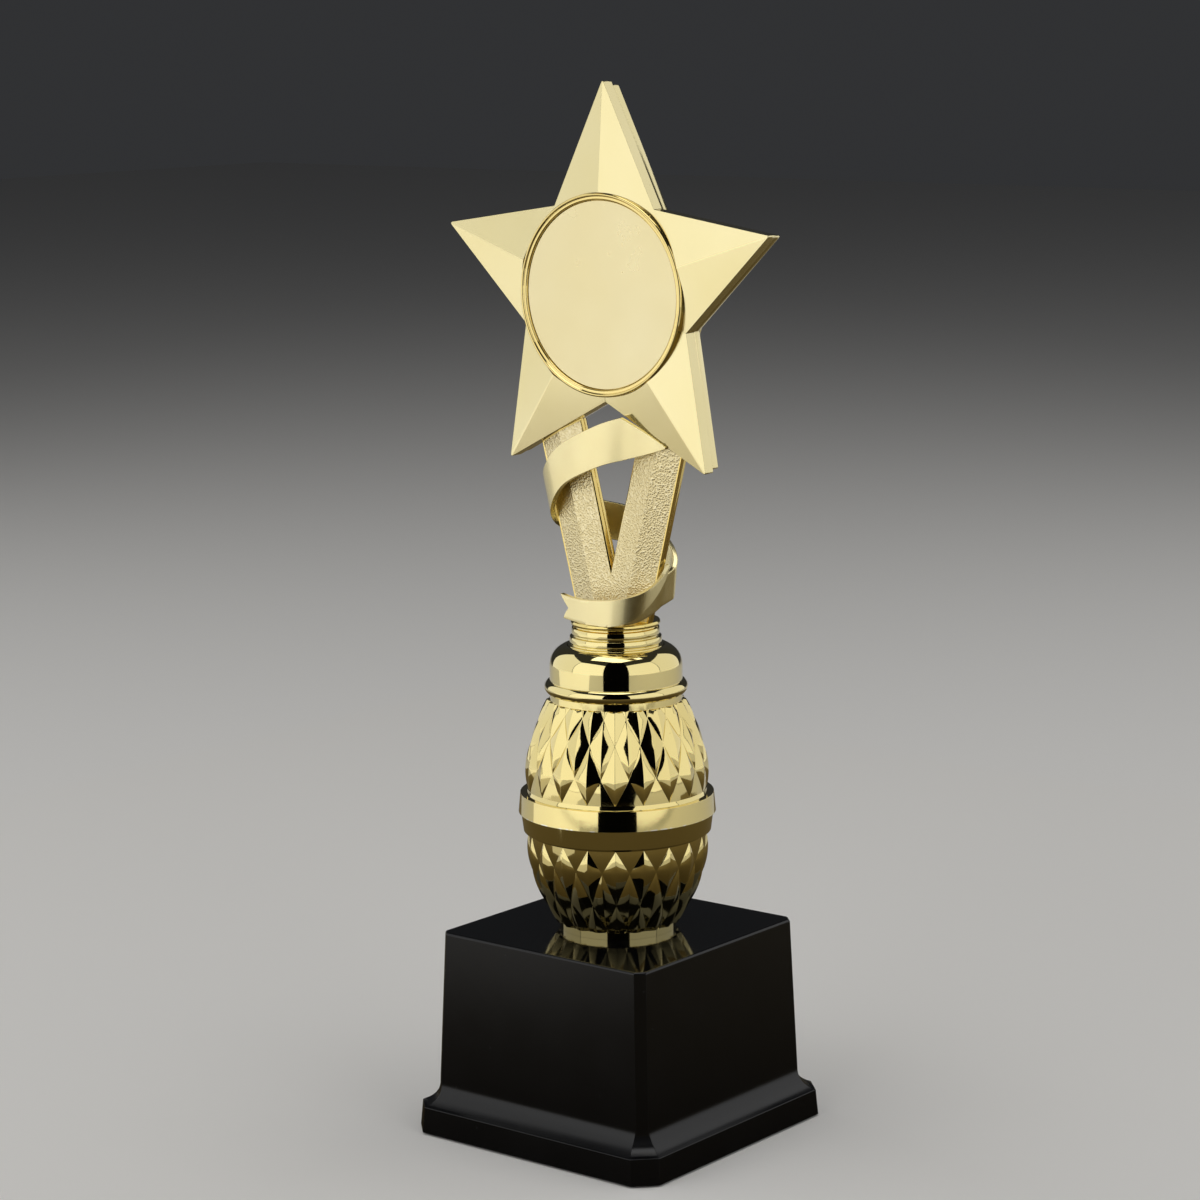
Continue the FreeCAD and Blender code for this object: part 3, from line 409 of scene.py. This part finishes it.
def lathe(name, outline):
    """Closed piece turned round the Z axis from an outline of (radius, height) points in millimetres."""
    bpy.ops.object.select_all(action="DESELECT")
    bpy.ops.mesh.primitive_plane_add(size=1 * MM)
    piece = open_piece(name)
    bpy.ops.mesh.select_mode(type="VERT")
    bpy.ops.mesh.select_all(action="SELECT")
    bpy.ops.mesh.merge(type="CENTER")
    points = [Vector((radius, 0, height)) * MM for radius, height in outline]
    bpy.ops.transform.translate(value=points[0])
    for here, there in zip(points, points[1:] + points[:1]):
        bpy.ops.mesh.extrude_region_move(TRANSFORM_OT_translate={"value": there - here})
    bpy.ops.mesh.select_all(action="SELECT")
    bpy.ops.mesh.spin(steps=TURNED_STEPS, angle=2 * math.pi, center=(0, 0, 0), axis=(0, 0, 1))
    bpy.ops.mesh.select_all(action="SELECT")
    bpy.ops.mesh.remove_doubles(threshold=0.002 * MM)
    bpy.ops.mesh.normals_make_consistent(inside=False)
    return piece


def bulged(start, end, belly, steps=8):
    """Points of an outline from start to end, bulging outwards by a belly."""
    way = Vector(end) - Vector(start)
    side = Vector((way.y, -way.x)).normalized()
    return [tuple(Vector(start) + way * (i / steps) + side * (4 * belly * (i / steps) * (1 - i / steps)))
            for i in range(steps + 1)]


collar = lathe("shoulder_collar_turned", [
    (ROD_HOLE, 121.2), *bulged((18.5, 121.2), (18.5, 124.5), 0.9), (18.0, 124.5),
    *bulged((18.0, 128.8), (13.9, 134.2), 1.05, 10), (13.1, 134.2), (13.1, 132.6), (ROD_HOLE, 132.6),
])
soften(collar, 0.15, 25)
ribs = [(8.2, 132.6)]
for rib, radius in enumerate((13.0, 12.45, 11.9)):
    foot = 132.6 + rib * 7.1 / 3
    ribs += bulged((radius, foot), (radius - 0.1, foot + 1.75), 0.08, 6)
    ribs += [(radius - 0.8, foot + 1.9), (radius - 0.8, foot + 7.1 / 3)]
neck = lathe("ribbed_neck_turned", ribs + [(8.2, 139.7)])
soften(neck, 0.1, 30)
foot_disc = lathe("figure_foot_disc", [
    (2.9, 139.7), *bulged((11.8, 139.7), (11.8, 141.1), 0.3), (2.9, 141.1),
])
soften(foot_disc, 0.1, 30)
collar_gold = metallised_gold("metallised_collar", "#F3E6A8", "#E9D48A", 0.05)[0]
foot_gold = metallised_gold("metallised_foot", "#F4E296", "#E8CE74", 0.12)[0]
own(collar, "shoulder_collar", collar_gold)
own(neck, "ribbed_neck", collar_gold)
own(foot_disc, "figure_foot", foot_gold)

# ------------------------------------------------------------------------------------------------
# Splayed column
# Two thin legs that lean apart, moulded as a front and a back half. Each face is gabled and blasted
# to a fine stipple inside a narrow polished rim, and the polished sides show the seam.
# ------------------------------------------------------------------------------------------------

FOOT_TOP = 141.1
LEG_OUTER, LEG_WIDTH, LEG_SPLAY = 11.9, 15.3, 0.255
LEG_EDGE, LEG_RIDGE = 1.2, 2.6
STAR_CENTRE = 228.5
STAR_RADIUS, CROTCH_RADIUS = 56.4, 28.4
TIP_ANGLE = math.radians(36)
# the star's lower edge, from the crotch at the bottom to the tip at the lower right
CROTCH = Vector((0, 0, STAR_CENTRE - CROTCH_RADIUS)) * MM
LOWER_TIP = Vector((STAR_RADIUS * math.sin(TIP_ANGLE), 0, STAR_CENTRE - STAR_RADIUS * math.cos(TIP_ANGLE))) * MM
LOWER_EDGE = (LOWER_TIP - CROTCH).normalized()
INTO_STAR = Vector((-LOWER_EDGE.z, 0, LOWER_EDGE.x))


def slice_off(point, direction):
    """In edit mode, cuts away what lies beyond a plane and closes the cut."""
    bpy.ops.mesh.select_all(action="SELECT")
    bpy.ops.mesh.bisect(plane_co=point, plane_no=direction, use_fill=True, clear_outer=True)


def mirrored(piece, name, axis):
    """Copy of a piece in object mode, mirrored across the middle plane square to an axis."""
    copy = piece.copy()
    copy.data = piece.data.copy()
    copy.name = copy.data.name = name
    bpy.context.scene.collection.objects.link(copy)
    copy.data.transform(Matrix.Scale(-1, 4, axis))
    copy.data.flip_normals()
    return copy


def join(pieces, name):
    """Joins pieces in object mode and merges what meets."""
    bpy.ops.object.select_all(action="DESELECT")
    for piece in pieces:
        piece.select_set(True)
    bpy.context.view_layer.objects.active = pieces[0]
    bpy.ops.object.join()
    joined = bpy.context.object
    joined.name = joined.data.name = name
    return joined


bpy.ops.object.select_all(action="DESELECT")
bpy.ops.mesh.primitive_circle_add(vertices=5, radius=1 * MM, fill_type="NGON")
leg = open_piece("leg")
mesh = bmesh.from_edit_mesh(leg.data)
middle = LEG_OUTER - LEG_WIDTH / 2
section = [(LEG_OUTER, 0), (LEG_OUTER - LEG_WIDTH, 0), (LEG_OUTER - LEG_WIDTH, -LEG_EDGE), (middle, -LEG_RIDGE),
           (LEG_OUTER, -LEG_EDGE)]
for vert, (across, depth) in zip(sorted(mesh.verts, key=lambda v: math.atan2(v.co.y, v.co.x)), section):
    vert.co = Vector((across, depth, FOOT_TOP)) * MM
bmesh.update_edit_mesh(leg.data)
bpy.ops.mesh.select_all(action="SELECT")
rise = STAR_CENTRE - CROTCH_RADIUS - FOOT_TOP
bpy.ops.mesh.extrude_region_move(TRANSFORM_OT_translate={"value": Vector((LEG_SPLAY * rise, 0, rise)) * MM})
bpy.ops.mesh.select_all(action="SELECT")
bpy.ops.mesh.normals_make_consistent(inside=False)
slice_off((0, 0, 0), (-1, 0, 0))
slice_off(CROTCH, INTO_STAR)
pick(leg, "FACE", lambda f: abs(f.normal.x) > 0.99 and abs(f.calc_center_median().x) < 0.01 * MM)
bpy.ops.mesh.delete(type="FACE")
bpy.ops.object.mode_set(mode="OBJECT")
column_front = join([leg, mirrored(leg, "leg_left", (1, 0, 0))], "column_front_moulding")
bpy.ops.object.mode_set(mode="EDIT")
bpy.ops.mesh.select_all(action="SELECT")
bpy.ops.mesh.remove_doubles(threshold=0.01 * MM)
bpy.ops.mesh.normals_make_consistent(inside=False)
polished_gold = metallised_gold("metallised_column_rims", "#F2DB8C", "#E4C468", 0.12)[0]

# Metallised stipple: the mould was blasted with coarse grit, so the film glitters in points about
# half a millimetre apart instead of mirroring.
stipple_gold, tree, shader, colour, place = metallised_gold("metallised_stipple", "#FBF1CE", "#F1E2B0", 0.3)
shader.inputs["Coat Weight"].default_value = 0.1
grit = add_node(tree, "ShaderNodeTexVoronoi", {"Vector": place}, Scale=1 / (0.5 * MM))
grain = add_node(tree, "ShaderNodeTexNoise", {"Vector": place}, Scale=1 / (0.35 * MM), Detail=3.0)
dimples = add_node(tree, "ShaderNodeBump", {"Height": grit.outputs["Distance"]}, Strength=0.85, Distance=0.14 * MM)
points = add_node(tree, "ShaderNodeBump", {"Height": grain.outputs["Fac"], "Normal": dimples.outputs["Normal"]},
                  Strength=0.6, Distance=0.06 * MM)
tree.links.new(points.outputs["Normal"], shader.inputs["Normal"])
# the dimples are painted darker towards their bottoms: painted shade in the hollows
shade = add_node(tree, "ShaderNodeMix", {"Factor": grit.outputs["Distance"], "B": colour.outputs["Result"]},
                 data_type="RGBA")
shade.inputs["A"].default_value = linear("#D6C288")
tree.links.new(shade.outputs["Result"], shader.inputs["Base Color"])

column_front.data.materials.append(polished_gold)
column_front.data.materials.append(stipple_gold)
# the halves' edges are rounded where they meet, which leaves a dark seam down the sides
pick(column_front, "EDGE", lambda e: all(abs(v.co.y) < 0.01 * MM for v in e.verts) and e.calc_face_angle(0) > 1)
bpy.ops.mesh.bevel(offset=0.16 * MM, segments=1)
pick(column_front, "FACE", lambda f: f.normal.y < -0.5 and f.calc_center_median().y < -LEG_EDGE * MM)
bpy.ops.mesh.inset(thickness=0.4 * MM, depth=-0.12 * MM)
column_front.active_material_index = 1
bpy.ops.object.material_slot_assign()
soften(column_front, 0.15, 15, 2)
column_back = mirrored(column_front, "column_back_moulding", (0, 1, 0))
own(column_front, "column_front", stipple_gold)
own(column_back, "column_back", stipple_gold)

# ------------------------------------------------------------------------------------------------
# Ribbon
# A flat moulded band that leaves the star's lower right edge, crosses in front, winds once round the
# legs and ends in front on the foot disc in a swallowtail. It is moulded with the front and the back
# half of the figure, so it is three pieces that meet at the seam.
# ------------------------------------------------------------------------------------------------

# Turn in degrees (-90 is the front, -180 the left), stand-off from the legs, half depth front to
# back, lower edge as a share of the way up to the star's centre, height, and outward lean.
RIBBON_STATIONS = [
    (-40, 2.0, 4.5, 0.548, 12.0, 0.0), (-56, 2.0, 3.5, 0.528, 12.3, 0.0), (-72, 2.0, 4.4, 0.507, 11.8, 0.0),
    (-90, 1.7, 6.2, 0.480, 11.2, 0.0), (-120, 0.9, 7.2, 0.418, 10.4, 0.0), (-150, 0.5, 7.4, 0.336, 10.6, 0.0),
    (-180, 0.5, 7.6, 0.275, 11.2, 0.0), (-210, 0.9, 8.2, 0.246, 11.0, 0.0), (-240, 1.2, 8.6, 0.230, 10.4, 0.0),
    (-270, 1.5, 9.2, 0.212, 10.0, 0.0), (-300, 1.2, 9.8, 0.155, 9.1, 0.2), (-330, 1.3, 10.5, 0.098, 9.1, 0.8),
    (-360, 1.7, 10.8, 0.055, 8.8, 1.2), (-390, 1.8, 10.8, 0.012, 8.4, 0.8), (-420, 1.8, 10.6, 0.0, 7.4, 0.3),
    (-450, 1.8, 10.2, 0.0, 6.6, 0.0), (-468, 2.0, 10.8, 0.004, 6.4, 0.0), (-486, 2.3, 12.2, 0.010, 6.6, 0.0),
]
RIBBON_THICKNESS, RIBBON_GAP = 1.3, 0.3
LEFT_SIDE, RIGHT_SIDE = 6, 12        # the stations on the seam
STEPS_BETWEEN, ROWS_ACROSS = 10, 8
SWALLOWTAIL = 2.6


def ribbon_edges(station):
    """Lower and upper edge of the ribbon's middle surface at one station."""
    turn, stand_off, half_depth, share, height, lean = station
    angle = math.radians(turn)
    lower = FOOT_TOP + share * (STAR_CENTRE - FOOT_TOP)
    half_width = LEG_OUTER + LEG_SPLAY * (lower + height / 2 - FOOT_TOP) + stand_off
    out = Vector((math.cos(angle) / half_width, math.sin(angle) / half_depth, 0)).normalized()
    edges = []
    for level, extra in ((lower, lean), (lower + height, 0.0)):
        across = LEG_OUTER + LEG_SPLAY * (level - FOOT_TOP) + RIBBON_GAP + stand_off + extra
        edges.append(Vector((across * math.cos(angle), (half_depth + extra) * math.sin(angle), level))
                     + out * (RIBBON_THICKNESS / 2))
    return edges


def between(points, along):
    """Point on a smooth line through the points, at a place counted in points."""
    i = min(int(along), len(points) - 2)
    t = along - i
    a, b = points[max(i - 1, 0)], points[i]
    c, d = points[i + 1], points[min(i + 2, len(points) - 1)]
    return 0.5 * (2 * b + (c - a) * t + (2 * a - 5 * b + 4 * c - d) * t ** 2 + (3 * b - a - 3 * c + d) * t ** 3)


low_line, high_line = zip(*[ribbon_edges(station) for station in RIBBON_STATIONS])


def tail_edges(along):
    """The tail's two edges. Beside the right leg it sweeps up to a point, its lower edge most."""
    low, high = between(low_line, along), between(high_line, along)
    sweep = max(0.0, 1 - (along - RIGHT_SIDE) / 2.4) ** 2
    high = high + Vector((0, 0, 3.0)) * sweep ** 2
    return low.lerp(high, 0.92 * sweep), high


def back_edges(along):
    """The back band's two edges. Past the right leg it tucks in behind the tail, lower edge first."""
    low, high = between(low_line, along), between(high_line, along)
    tuck = min(1.0, max(0.0, (along - RIGHT_SIDE + 0.5) / 0.5)) * (RIBBON_THICKNESS + 0.1)
    towards_legs = Vector((-low.x, -low.y, 0)).normalized() * tuck
    return low + towards_legs * 1.5, high + towards_legs


def plain_edges(along):
    return between(low_line, along), between(high_line, along)


def ribbon_piece(name, first, last, edges):
    """Band of the ribbon between two places, counted in stations."""
    columns = round((last - first) * STEPS_BETWEEN)
    bpy.ops.object.select_all(action="DESELECT")
    bpy.ops.mesh.primitive_grid_add(size=1, x_subdivisions=columns, y_subdivisions=ROWS_ACROSS)
    piece = open_piece(name)
    mesh = bmesh.from_edit_mesh(piece.data)
    end = len(RIBBON_STATIONS) - 1
    for vert in mesh.verts:
        along = first + (vert.co.x + 0.5) * (last - first)
        across = vert.co.y + 0.5
        if last == end and along > end - 0.7:
            notch = (1 - abs(2 * across - 1)) * (along - end + 0.7) / 0.7
            along -= notch * SWALLOWTAIL / (low_line[-1] - low_line[-2]).length
        low, high = edges(along)
        vert.co = low.lerp(high, across) * MM
    bmesh.update_edit_mesh(piece.data)
    bpy.ops.object.mode_set(mode="OBJECT")
    body = piece.modifiers.new("thickness", "SOLIDIFY")
    body.thickness = RIBBON_THICKNESS * MM
    body.offset = 0
    body.use_even_offset = True
    bpy.ops.object.modifier_apply(modifier=body.name)
    bpy.ops.object.mode_set(mode="EDIT")
    bpy.ops.mesh.select_all(action="SELECT")
    bpy.ops.mesh.normals_make_consistent(inside=False)
    return piece


ribbon_gold = metallised_gold("metallised_ribbon", "#F2E6B4", "#E8D89C", 0.24)[0]
ribbon_upper = ribbon_piece("ribbon_upper_band", 0, LEFT_SIDE, plain_edges)
slice_off(CROTCH, INTO_STAR)
soften(ribbon_upper, 0.22, 40)
ribbon_back = ribbon_piece("ribbon_back_band", LEFT_SIDE, RIGHT_SIDE + 1.6, back_edges)
soften(ribbon_back, 0.22, 40)
ribbon_tail = ribbon_piece("ribbon_tail_band", RIGHT_SIDE, len(RIBBON_STATIONS) - 1, tail_edges)
slice_off((0, 0, FOOT_TOP * MM), (0, 0, -1))
soften(ribbon_tail, 0.22, 40)
for piece, node in ((ribbon_upper, "ribbon_upper"), (ribbon_back, "ribbon_back"), (ribbon_tail, "ribbon_tail")):
    own(piece, node, ribbon_gold)

# ------------------------------------------------------------------------------------------------
# Star
# Two hollow mouldings glued back to back. Ridges run from each point towards the middle; the back
# half is a little smaller all round, which leaves a step and a fine dark seam along the sides.
# ------------------------------------------------------------------------------------------------

RIDGE_RISE = 4.6
SEAT_RADIUS = 27.05


def star_moulding(name, depth, inset, seat):
    """Front half of the star, with the round seat of the medallion holder cut into it."""
    bpy.ops.object.select_all(action="DESELECT")
    bpy.ops.mesh.primitive_circle_add(vertices=10, radius=1 * MM, fill_type="NGON")
    piece = open_piece(name)
    mesh = bmesh.from_edit_mesh(piece.data)
    shrink = 1 - inset / 21.5
    for vert in mesh.verts:
        corner = round(math.atan2(vert.co.x, vert.co.y) / TIP_ANGLE)
        reach = (STAR_RADIUS if corner % 2 == 0 else CROTCH_RADIUS) * shrink
        vert.co = Vector((reach * math.sin(corner * TIP_ANGLE), 0,
                          STAR_CENTRE + reach * math.cos(corner * TIP_ANGLE))) * MM
    bmesh.update_edit_mesh(piece.data)
    middle = Vector((0, 0, STAR_CENTRE * MM))
    pick(piece, "VERT", lambda v: (v.co - middle).length > 40 * MM)
    bpy.ops.mesh.bevel(offset=0.9 * MM, segments=3, affect="VERTICES")
    bpy.ops.mesh.select_mode(type="FACE")
    bpy.ops.mesh.select_all(action="SELECT")
    bpy.ops.mesh.extrude_region_move(TRANSFORM_OT_translate={"value": (0, -depth * MM, 0)})
    bpy.ops.mesh.poke()
    mesh = bmesh.from_edit_mesh(piece.data)
    apex = min(mesh.verts, key=lambda v: (v.co - Vector((0, -depth * MM, STAR_CENTRE * MM))).length)
    apex.co = Vector((0, -(depth + RIDGE_RISE), STAR_CENTRE)) * MM
    bmesh.update_edit_mesh(piece.data)
    bpy.ops.mesh.select_all(action="SELECT")
    bpy.ops.mesh.normals_make_consistent(inside=False)
    bpy.ops.object.mode_set(mode="OBJECT")
    edges = piece.modifiers.new("rounded_edges", "BEVEL")
    edges.width = 0.28 * MM
    edges.segments = 2
    edges.limit_method = "ANGLE"
    edges.angle_limit = math.radians(6)
    bpy.ops.object.modifier_apply(modifier=edges.name)
    bpy.ops.mesh.primitive_cylinder_add(vertices=192, radius=SEAT_RADIUS * MM, depth=20 * MM,
                                        location=(0, -(seat + 10) * MM, STAR_CENTRE * MM),
                                        rotation=(math.pi / 2, 0, 0))
    cutter = bpy.context.object
    bpy.context.view_layer.objects.active = piece
    hole = piece.modifiers.new("seat", "BOOLEAN")
    hole.operation = "DIFFERENCE"
    hole.object = cutter
    bpy.ops.object.modifier_apply(modifier=hole.name)
    bpy.data.objects.remove(cutter)
    bpy.ops.object.select_all(action="DESELECT")
    piece.select_set(True)
    smooth_shade(piece)
    return piece


star_front = star_moulding("star_front_moulding", 3.5, 0.0, 2.3)
blank = star_moulding("star_blank", 3.0, 0.4, 1.8)
star_back = mirrored(blank, "star_back_moulding", (0, 1, 0))
bpy.data.objects.remove(blank)
star_gold = metallised_gold("metallised_star", "#F3E7B6", "#EADB9E", 0.17)[0]
own(star_front, "star_front", star_gold)
own(star_back, "star_back", star_gold)

# ------------------------------------------------------------------------------------------------
# Medallion holders and discs
# A shallow moulded cup with a rounded rim and a fine inner bead is pressed into the star, front and
# back. It takes a stock 50 mm disc, which lies about a millimetre below the rim.
# ------------------------------------------------------------------------------------------------


def face_front(piece, seat):
    """Turns a piece made along Z to face the front, with its foot at a depth from the seam, and makes
    one face of each of its flats."""
    bpy.ops.mesh.select_all(action="SELECT")
    bpy.ops.mesh.dissolve_limited(angle_limit=math.radians(0.5))
    bpy.ops.object.mode_set(mode="OBJECT")
    piece.data.transform(Matrix.Translation((0, -seat * MM, STAR_CENTRE * MM))
                         @ Matrix.Rotation(math.pi / 2, 4, "X"))
    piece.data.update()


holder_outline = [
    (0, 0), (27.0, 0), (27.0, 3.0), (26.93, 3.3), (26.75, 3.5), (26.5, 3.6), (26.25, 3.5), (26.1, 3.3),
    (26.0, 3.12), (25.75, 3.2), (25.5, 3.2), (25.32, 3.1), (25.2, 2.9), (25.1, 2.6), (25.1, 1.6), (0, 1.6),
]
disc_outline = [(0, 1.6), (24.95, 1.6), (25.0, 1.75), (25.0, 2.45), (24.85, 2.6), (0, 2.6)]
holder_gold = metallised_gold("metallised_holder", "#F4E09C", "#E6CC78", 0.07)[0]

# Printed-foil disc: the same film on a flat blank, brushed soft so that it glows evenly instead of
# mirroring, with a few cloudy patches.
disc_gold, tree, shader, colour, place = metallised_gold("satin_foil_disc", "#ECE0B4", "#E4D49C", 0.3, 0.0)
for name, node, outline, finish, slot in (
        ("holder", "medallion_holder", holder_outline, holder_gold, "holder_gold"),
        ("disc", "medallion_disc", disc_outline, disc_gold, "disc_gold")):
    front = lathe("medallion_%s_front_turned" % name, outline)
    face_front(front, 2.3)
    soften(front, 0.06, 30, 2)
    blank = lathe("medallion_%s_blank" % name, outline)
    face_front(blank, 1.8)
    soften(blank, 0.06, 30, 2)
    back = mirrored(blank, "medallion_%s_back_turned" % name, (0, 1, 0))
    bpy.data.objects.remove(blank)
    own(front, node + "_front", finish)
    own(back, node + "_back", finish)

# ------------------------------------------------------------------------------------------------
# Studio
# A pale floor in a dark room. Four tall soft panels stand round the trophy like a tent that is open
# at the back, with a fifth above, and a narrow black card stands in front, as it does where a camera
# looks in: polished round forms show it as a dark stripe. Only reflections see the card.
# ------------------------------------------------------------------------------------------------

CAMERA_AZIMUTH = 38.3

bpy.ops.object.select_all(action="DESELECT")
bpy.ops.mesh.primitive_plane_add(size=8, location=(0, 0, 0))
floor = bpy.context.object
floor.name = "floor"
paper, tree, shader, place = new_finish("seamless_paper")
shader.inputs["Base Color"].default_value = linear("#ECEAE6")
shader.inputs["Roughness"].default_value = 0.8
floor.data.materials.append(paper)


def round_the_trophy(azimuth, distance):
    """Point on the floor at an azimuth, where 0 is in front of the trophy and 90 to its right."""
    turn = math.radians(azimuth)
    return Vector((math.sin(turn), -math.cos(turn), 0)) * distance


bpy.ops.mesh.primitive_plane_add(size=1, rotation=(math.pi / 2, 0, math.radians(CAMERA_AZIMUTH)),
                                 location=round_the_trophy(CAMERA_AZIMUTH, 0.5) + Vector((0, 0, 0.65)))
card = bpy.context.object
card.name = "black_card"
card.scale = (0.4, 1.3, 1)
velvet, tree, shader, place = new_finish("black_velvet")
shader.inputs["Base Color"].default_value = linear("#050505")
shader.inputs["Roughness"].default_value = 1.0
shader.inputs["Specular IOR Level"].default_value = 0.0
card.data.materials.append(velvet)
# A sheet on the floor round the trophy that only reflections see: painted dark reflection, darkest beside the trophy
# and paler outwards, so that it fades into the floor's reflection.
bpy.ops.mesh.primitive_plane_add(size=0.86, location=(0, 0, 0.0002))
reflection_sheet = bpy.context.object
reflection_sheet.name = "dark_reflection_sheet"
painted_dark_reflection, tree, shader, place = new_finish("painted_dark_reflection")
reach = add_node(tree, "ShaderNodeVectorMath", {0: place}, operation="LENGTH")
fade = add_node(tree, "ShaderNodeMapRange", {"Value": reach.outputs["Value"]}, From_Min=0.05, From_Max=0.43)
dark_reflection_tone = add_node(tree, "ShaderNodeMix", {"Factor": fade.outputs["Result"]}, data_type="RGBA")
dark_reflection_tone.inputs["A"].default_value = linear("#443A26")
dark_reflection_tone.inputs["B"].default_value = linear("#8A7C5C")
tree.links.new(dark_reflection_tone.outputs["Result"], shader.inputs["Base Color"])
shader.inputs["Roughness"].default_value = 1.0
shader.inputs["Specular IOR Level"].default_value = 0.0
reflection_sheet.data.materials.append(painted_dark_reflection)
for screen in (card, reflection_sheet):
    screen.visible_camera = screen.visible_shadow = screen.visible_diffuse = False

room = bpy.data.worlds.new("dark_room")
bpy.context.scene.world = room
room.use_nodes = True
room.node_tree.nodes["Background"].inputs["Color"].default_value = linear("#8A8C90")
room.node_tree.nodes["Background"].inputs["Strength"].default_value = 0.12
bpy.context.scene.view_settings.view_transform = "Standard"


def soft_panel(name, place, aim, width, height, glow):
    """Rectangular soft light that faces a point. Glow is how bright the panel itself looks."""
    light = bpy.data.lights.new(name, "AREA")
    light.shape = "RECTANGLE"
    light.size, light.size_y = width, height
    light.energy = glow * math.pi * width * height
    lamp = bpy.data.objects.new(name, light)
    bpy.context.scene.collection.objects.link(lamp)
    lamp.location = place
    lamp.rotation_euler = (Vector(aim) - Vector(place)).to_track_quat("-Z", "Y").to_euler()
    lamp.visible_camera = False


PANEL_DISTANCE, PANEL_WIDTH, PANEL_HEIGHT = 1.15, 1.3, 1.4
for name, azimuth, glow in (("panel_left", -12, 1.1), ("panel_far_left", -72, 0.85),
                            ("panel_right", 89, 0.95), ("panel_far_right", 149, 0.8)):
    middle = round_the_trophy(azimuth, PANEL_DISTANCE) + Vector((0, 0, PANEL_HEIGHT / 2 + 0.01))
    soft_panel(name, middle, (0, 0, middle.z), PANEL_WIDTH, PANEL_HEIGHT, glow)
soft_panel("panel_above", (0, 0, 1.6), (0, 0, 0), 1.1, 1.1, 1.8)
# a low panel lies on the floor at the left and lights the forms that face down
middle = round_the_trophy(-42, 0.9) + Vector((0, 0, 0.004))
soft_panel("low_panel", middle, middle + Vector((0, 0, 1)), 1.0, 1.0, 0.45)

camera_data = bpy.data.cameras.new("camera")
camera_data.sensor_width = 36
camera_data.lens = 102.3
camera = bpy.data.objects.new("camera", camera_data)
bpy.context.scene.collection.objects.link(camera)
turn = math.radians(CAMERA_AZIMUTH)
out = Vector((math.sin(turn), -math.cos(turn), 0))
pitch, yaw, roll = math.radians(10.06), math.radians(0.262), math.radians(-0.575)
forward = Matrix.Rotation(yaw, 3, "Z") @ Vector((-out.x * math.cos(pitch), -out.y * math.cos(pitch),
                                                  -math.sin(pitch)))
level = forward.cross(Vector((0, 0, 1))).normalized()
upright = level.cross(forward)
right = level * math.cos(roll) + upright * math.sin(roll)
above = upright * math.cos(roll) - level * math.sin(roll)
camera.matrix_world = Matrix((right, above, -forward)).transposed().to_4x4()
camera.location = out * 0.9034 + Vector((0, 0, 0.3065))
bpy.context.scene.camera = camera
